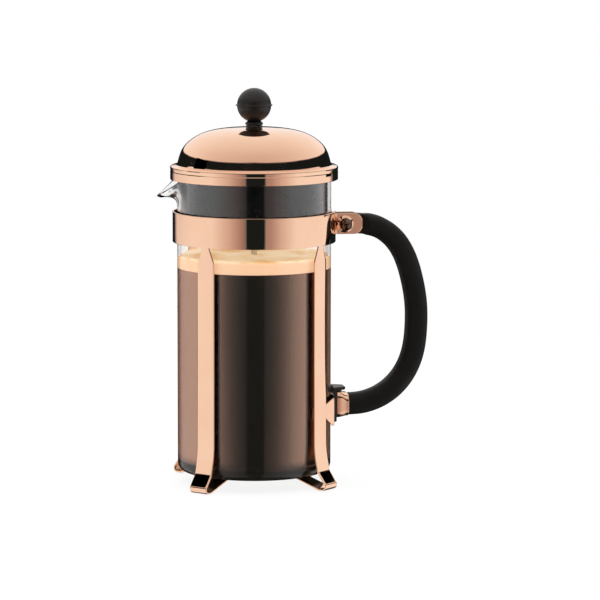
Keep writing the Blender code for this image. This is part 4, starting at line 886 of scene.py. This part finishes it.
# ---- Rod: drawn stainless rod, chamfered and threaded at both ends.
end_rings = np.arange(15)
thread = np.stack([2.0 - 0.12 * (end_rings % 2), 17.4 + 0.35 * end_rings], axis=1)
profile = np.r_[[(0.0, 16.4), (1.6, 16.4), (1.95, 16.9)], thread, [(2.0, 24.0), (2.0, 228.5)],
                thread[:-1] + (0.0, 211.6), [(2.0, 238.4), (1.6, 238.9), (0.0, 238.9)]]
steel_rod = joined("steel_rod", [turned(profile * mm, 72)],
                   worked_metal("steel_rod", (0.58, 0.57, 0.55), (0.68, 0.67, 0.65), 0.10, 0.22,
                                (1.0, 1.0, 0.04)))
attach(steel_rod, "plunger")
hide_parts("plunger_rod")


# ---- Filter plates: two pierced stainless discs; their pressed shapes stay as drawn, with a
# lightly brushed, coffee-dulled finish.
for node in ("cross_plate", "spiral_plate"):
    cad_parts[node].material_slots[0].material = worked_metal(
        "steel_" + node, (0.50, 0.49, 0.46), (0.64, 0.63, 0.61), 0.22, 0.38, (1.0, 0.06, 1.0))


# ---- Woven disc: fine stainless gauze, its edge folded up round the spring.
low, edge, bowl_r, fold_up, gauze_thick = 21.5, 45.85, 3.2, 4.4, 0.4
bowl = arrows(np.radians(np.linspace(-90.0, 0.0, 10)))
bowl_spot = (edge - bowl_r, low + bowl_r)
outside = np.r_[[(2.3, low), (22.0, low)], bowl_spot + bowl_r * bowl, [(edge, low + fold_up)]]
inside = np.r_[[(edge - gauze_thick, low + fold_up)],
               (bowl_spot + (bowl_r - gauze_thick) * bowl)[::-1],
               [(22.0, low + gauze_thick), (2.3, low + gauze_thick)]]
gauze, tree, shader = new_finish("steel_gauze")
shader.inputs["Metallic"].default_value = 1.0
place = tree.nodes.new("ShaderNodeTexCoord")
waves = []
for direction in ("X", "Y"):
    wave = tree.nodes.new("ShaderNodeTexWave")
    wave.bands_direction = direction
    wave.inputs["Scale"].default_value = 700.0
    tree.links.new(place.outputs["Object"], wave.inputs["Vector"])
    waves.append(wave.outputs["Fac"])
# the wires are light and the gaps between them painted dark: painted shade in place of the open
# holes of the weave
weave = worked(tree, "MAXIMUM", *waves)
tree.links.new(tinted(tree, weave, (0.10, 0.095, 0.09), (0.62, 0.61, 0.59), 0.35, 0.8),
               shader.inputs["Base Color"])
tree.links.new(ranged(tree, grain(tree, 80.0), 0.3, 0.7, 0.32, 0.48), shader.inputs["Roughness"])
tree.links.new(raised(tree, weave, 0.6, 0.15 * mm), shader.inputs["Normal"])
gauze_disc = joined("gauze_disc", [turned(np.r_[outside, inside] * mm, 192)], gauze)
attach(gauze_disc, "plunger")
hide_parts("filter_mesh")


# ---- Edge spring: one stainless wire wound into a long coil and closed into a ring.
turns, wire_r, coil_r, ring_r, ring_z = 110, 0.22 * mm, 1.28 * mm, 43.6 * mm, 24.5 * mm
# the wire runs round a circle of coil_r that itself runs once round the ring
s = 2 * np.pi * np.arange(turns * 14) / (turns * 14)
ring = ring_r + coil_r * np.cos(turns * s)
wire_line = np.stack([ring * np.cos(s), ring * np.sin(s), ring_z + coil_r * np.sin(turns * s)],
                     axis=1)
onward = np.roll(wire_line, -1, axis=0) - np.roll(wire_line, 1, axis=0)
onward /= np.linalg.norm(onward, axis=1)[:, None]
outward = np.stack([np.cos(turns * s) * np.cos(s), np.cos(turns * s) * np.sin(s),
                    np.sin(turns * s)], axis=1)
sideways = np.cross(onward, outward)
sideways /= np.linalg.norm(sideways, axis=1)[:, None]
outward = np.cross(sideways, onward)
wire = 2 * np.pi * np.arange(6) / 6
points = (wire_line[:, None, :] + wire_r * (np.cos(wire)[None, :, None] * outward[:, None, :]
                                            + np.sin(wire)[None, :, None] * sideways[:, None, :]))
coil_ring = joined("coil_ring", [skin(points, around=True, along=True)],
                   worked_metal("steel_spring", (0.60, 0.59, 0.57), (0.70, 0.69, 0.67), 0.15, 0.25),
                   80.0)
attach(coil_ring, "plunger")
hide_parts("edge_spring")


# ---- Rod nut: six-sided stainless nut that clamps the filter pack, corners chamfered.
profile = rounded([(2.15, 23.3), (4.33, 23.3), (5.0, 23.6), (5.0, 26.2), (4.33, 26.5),
                   (2.15, 26.5)], 0.08, 3, True) * mm
nut_steel = worked_metal("steel_nut", (0.56, 0.55, 0.53), (0.68, 0.67, 0.65), 0.18, 0.30)
pack_nut = joined("pack_nut", [turned(profile, 96, 4.33 * mm)], nut_steel, 25.0)
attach(pack_nut, "plunger")
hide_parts("rod_nut")
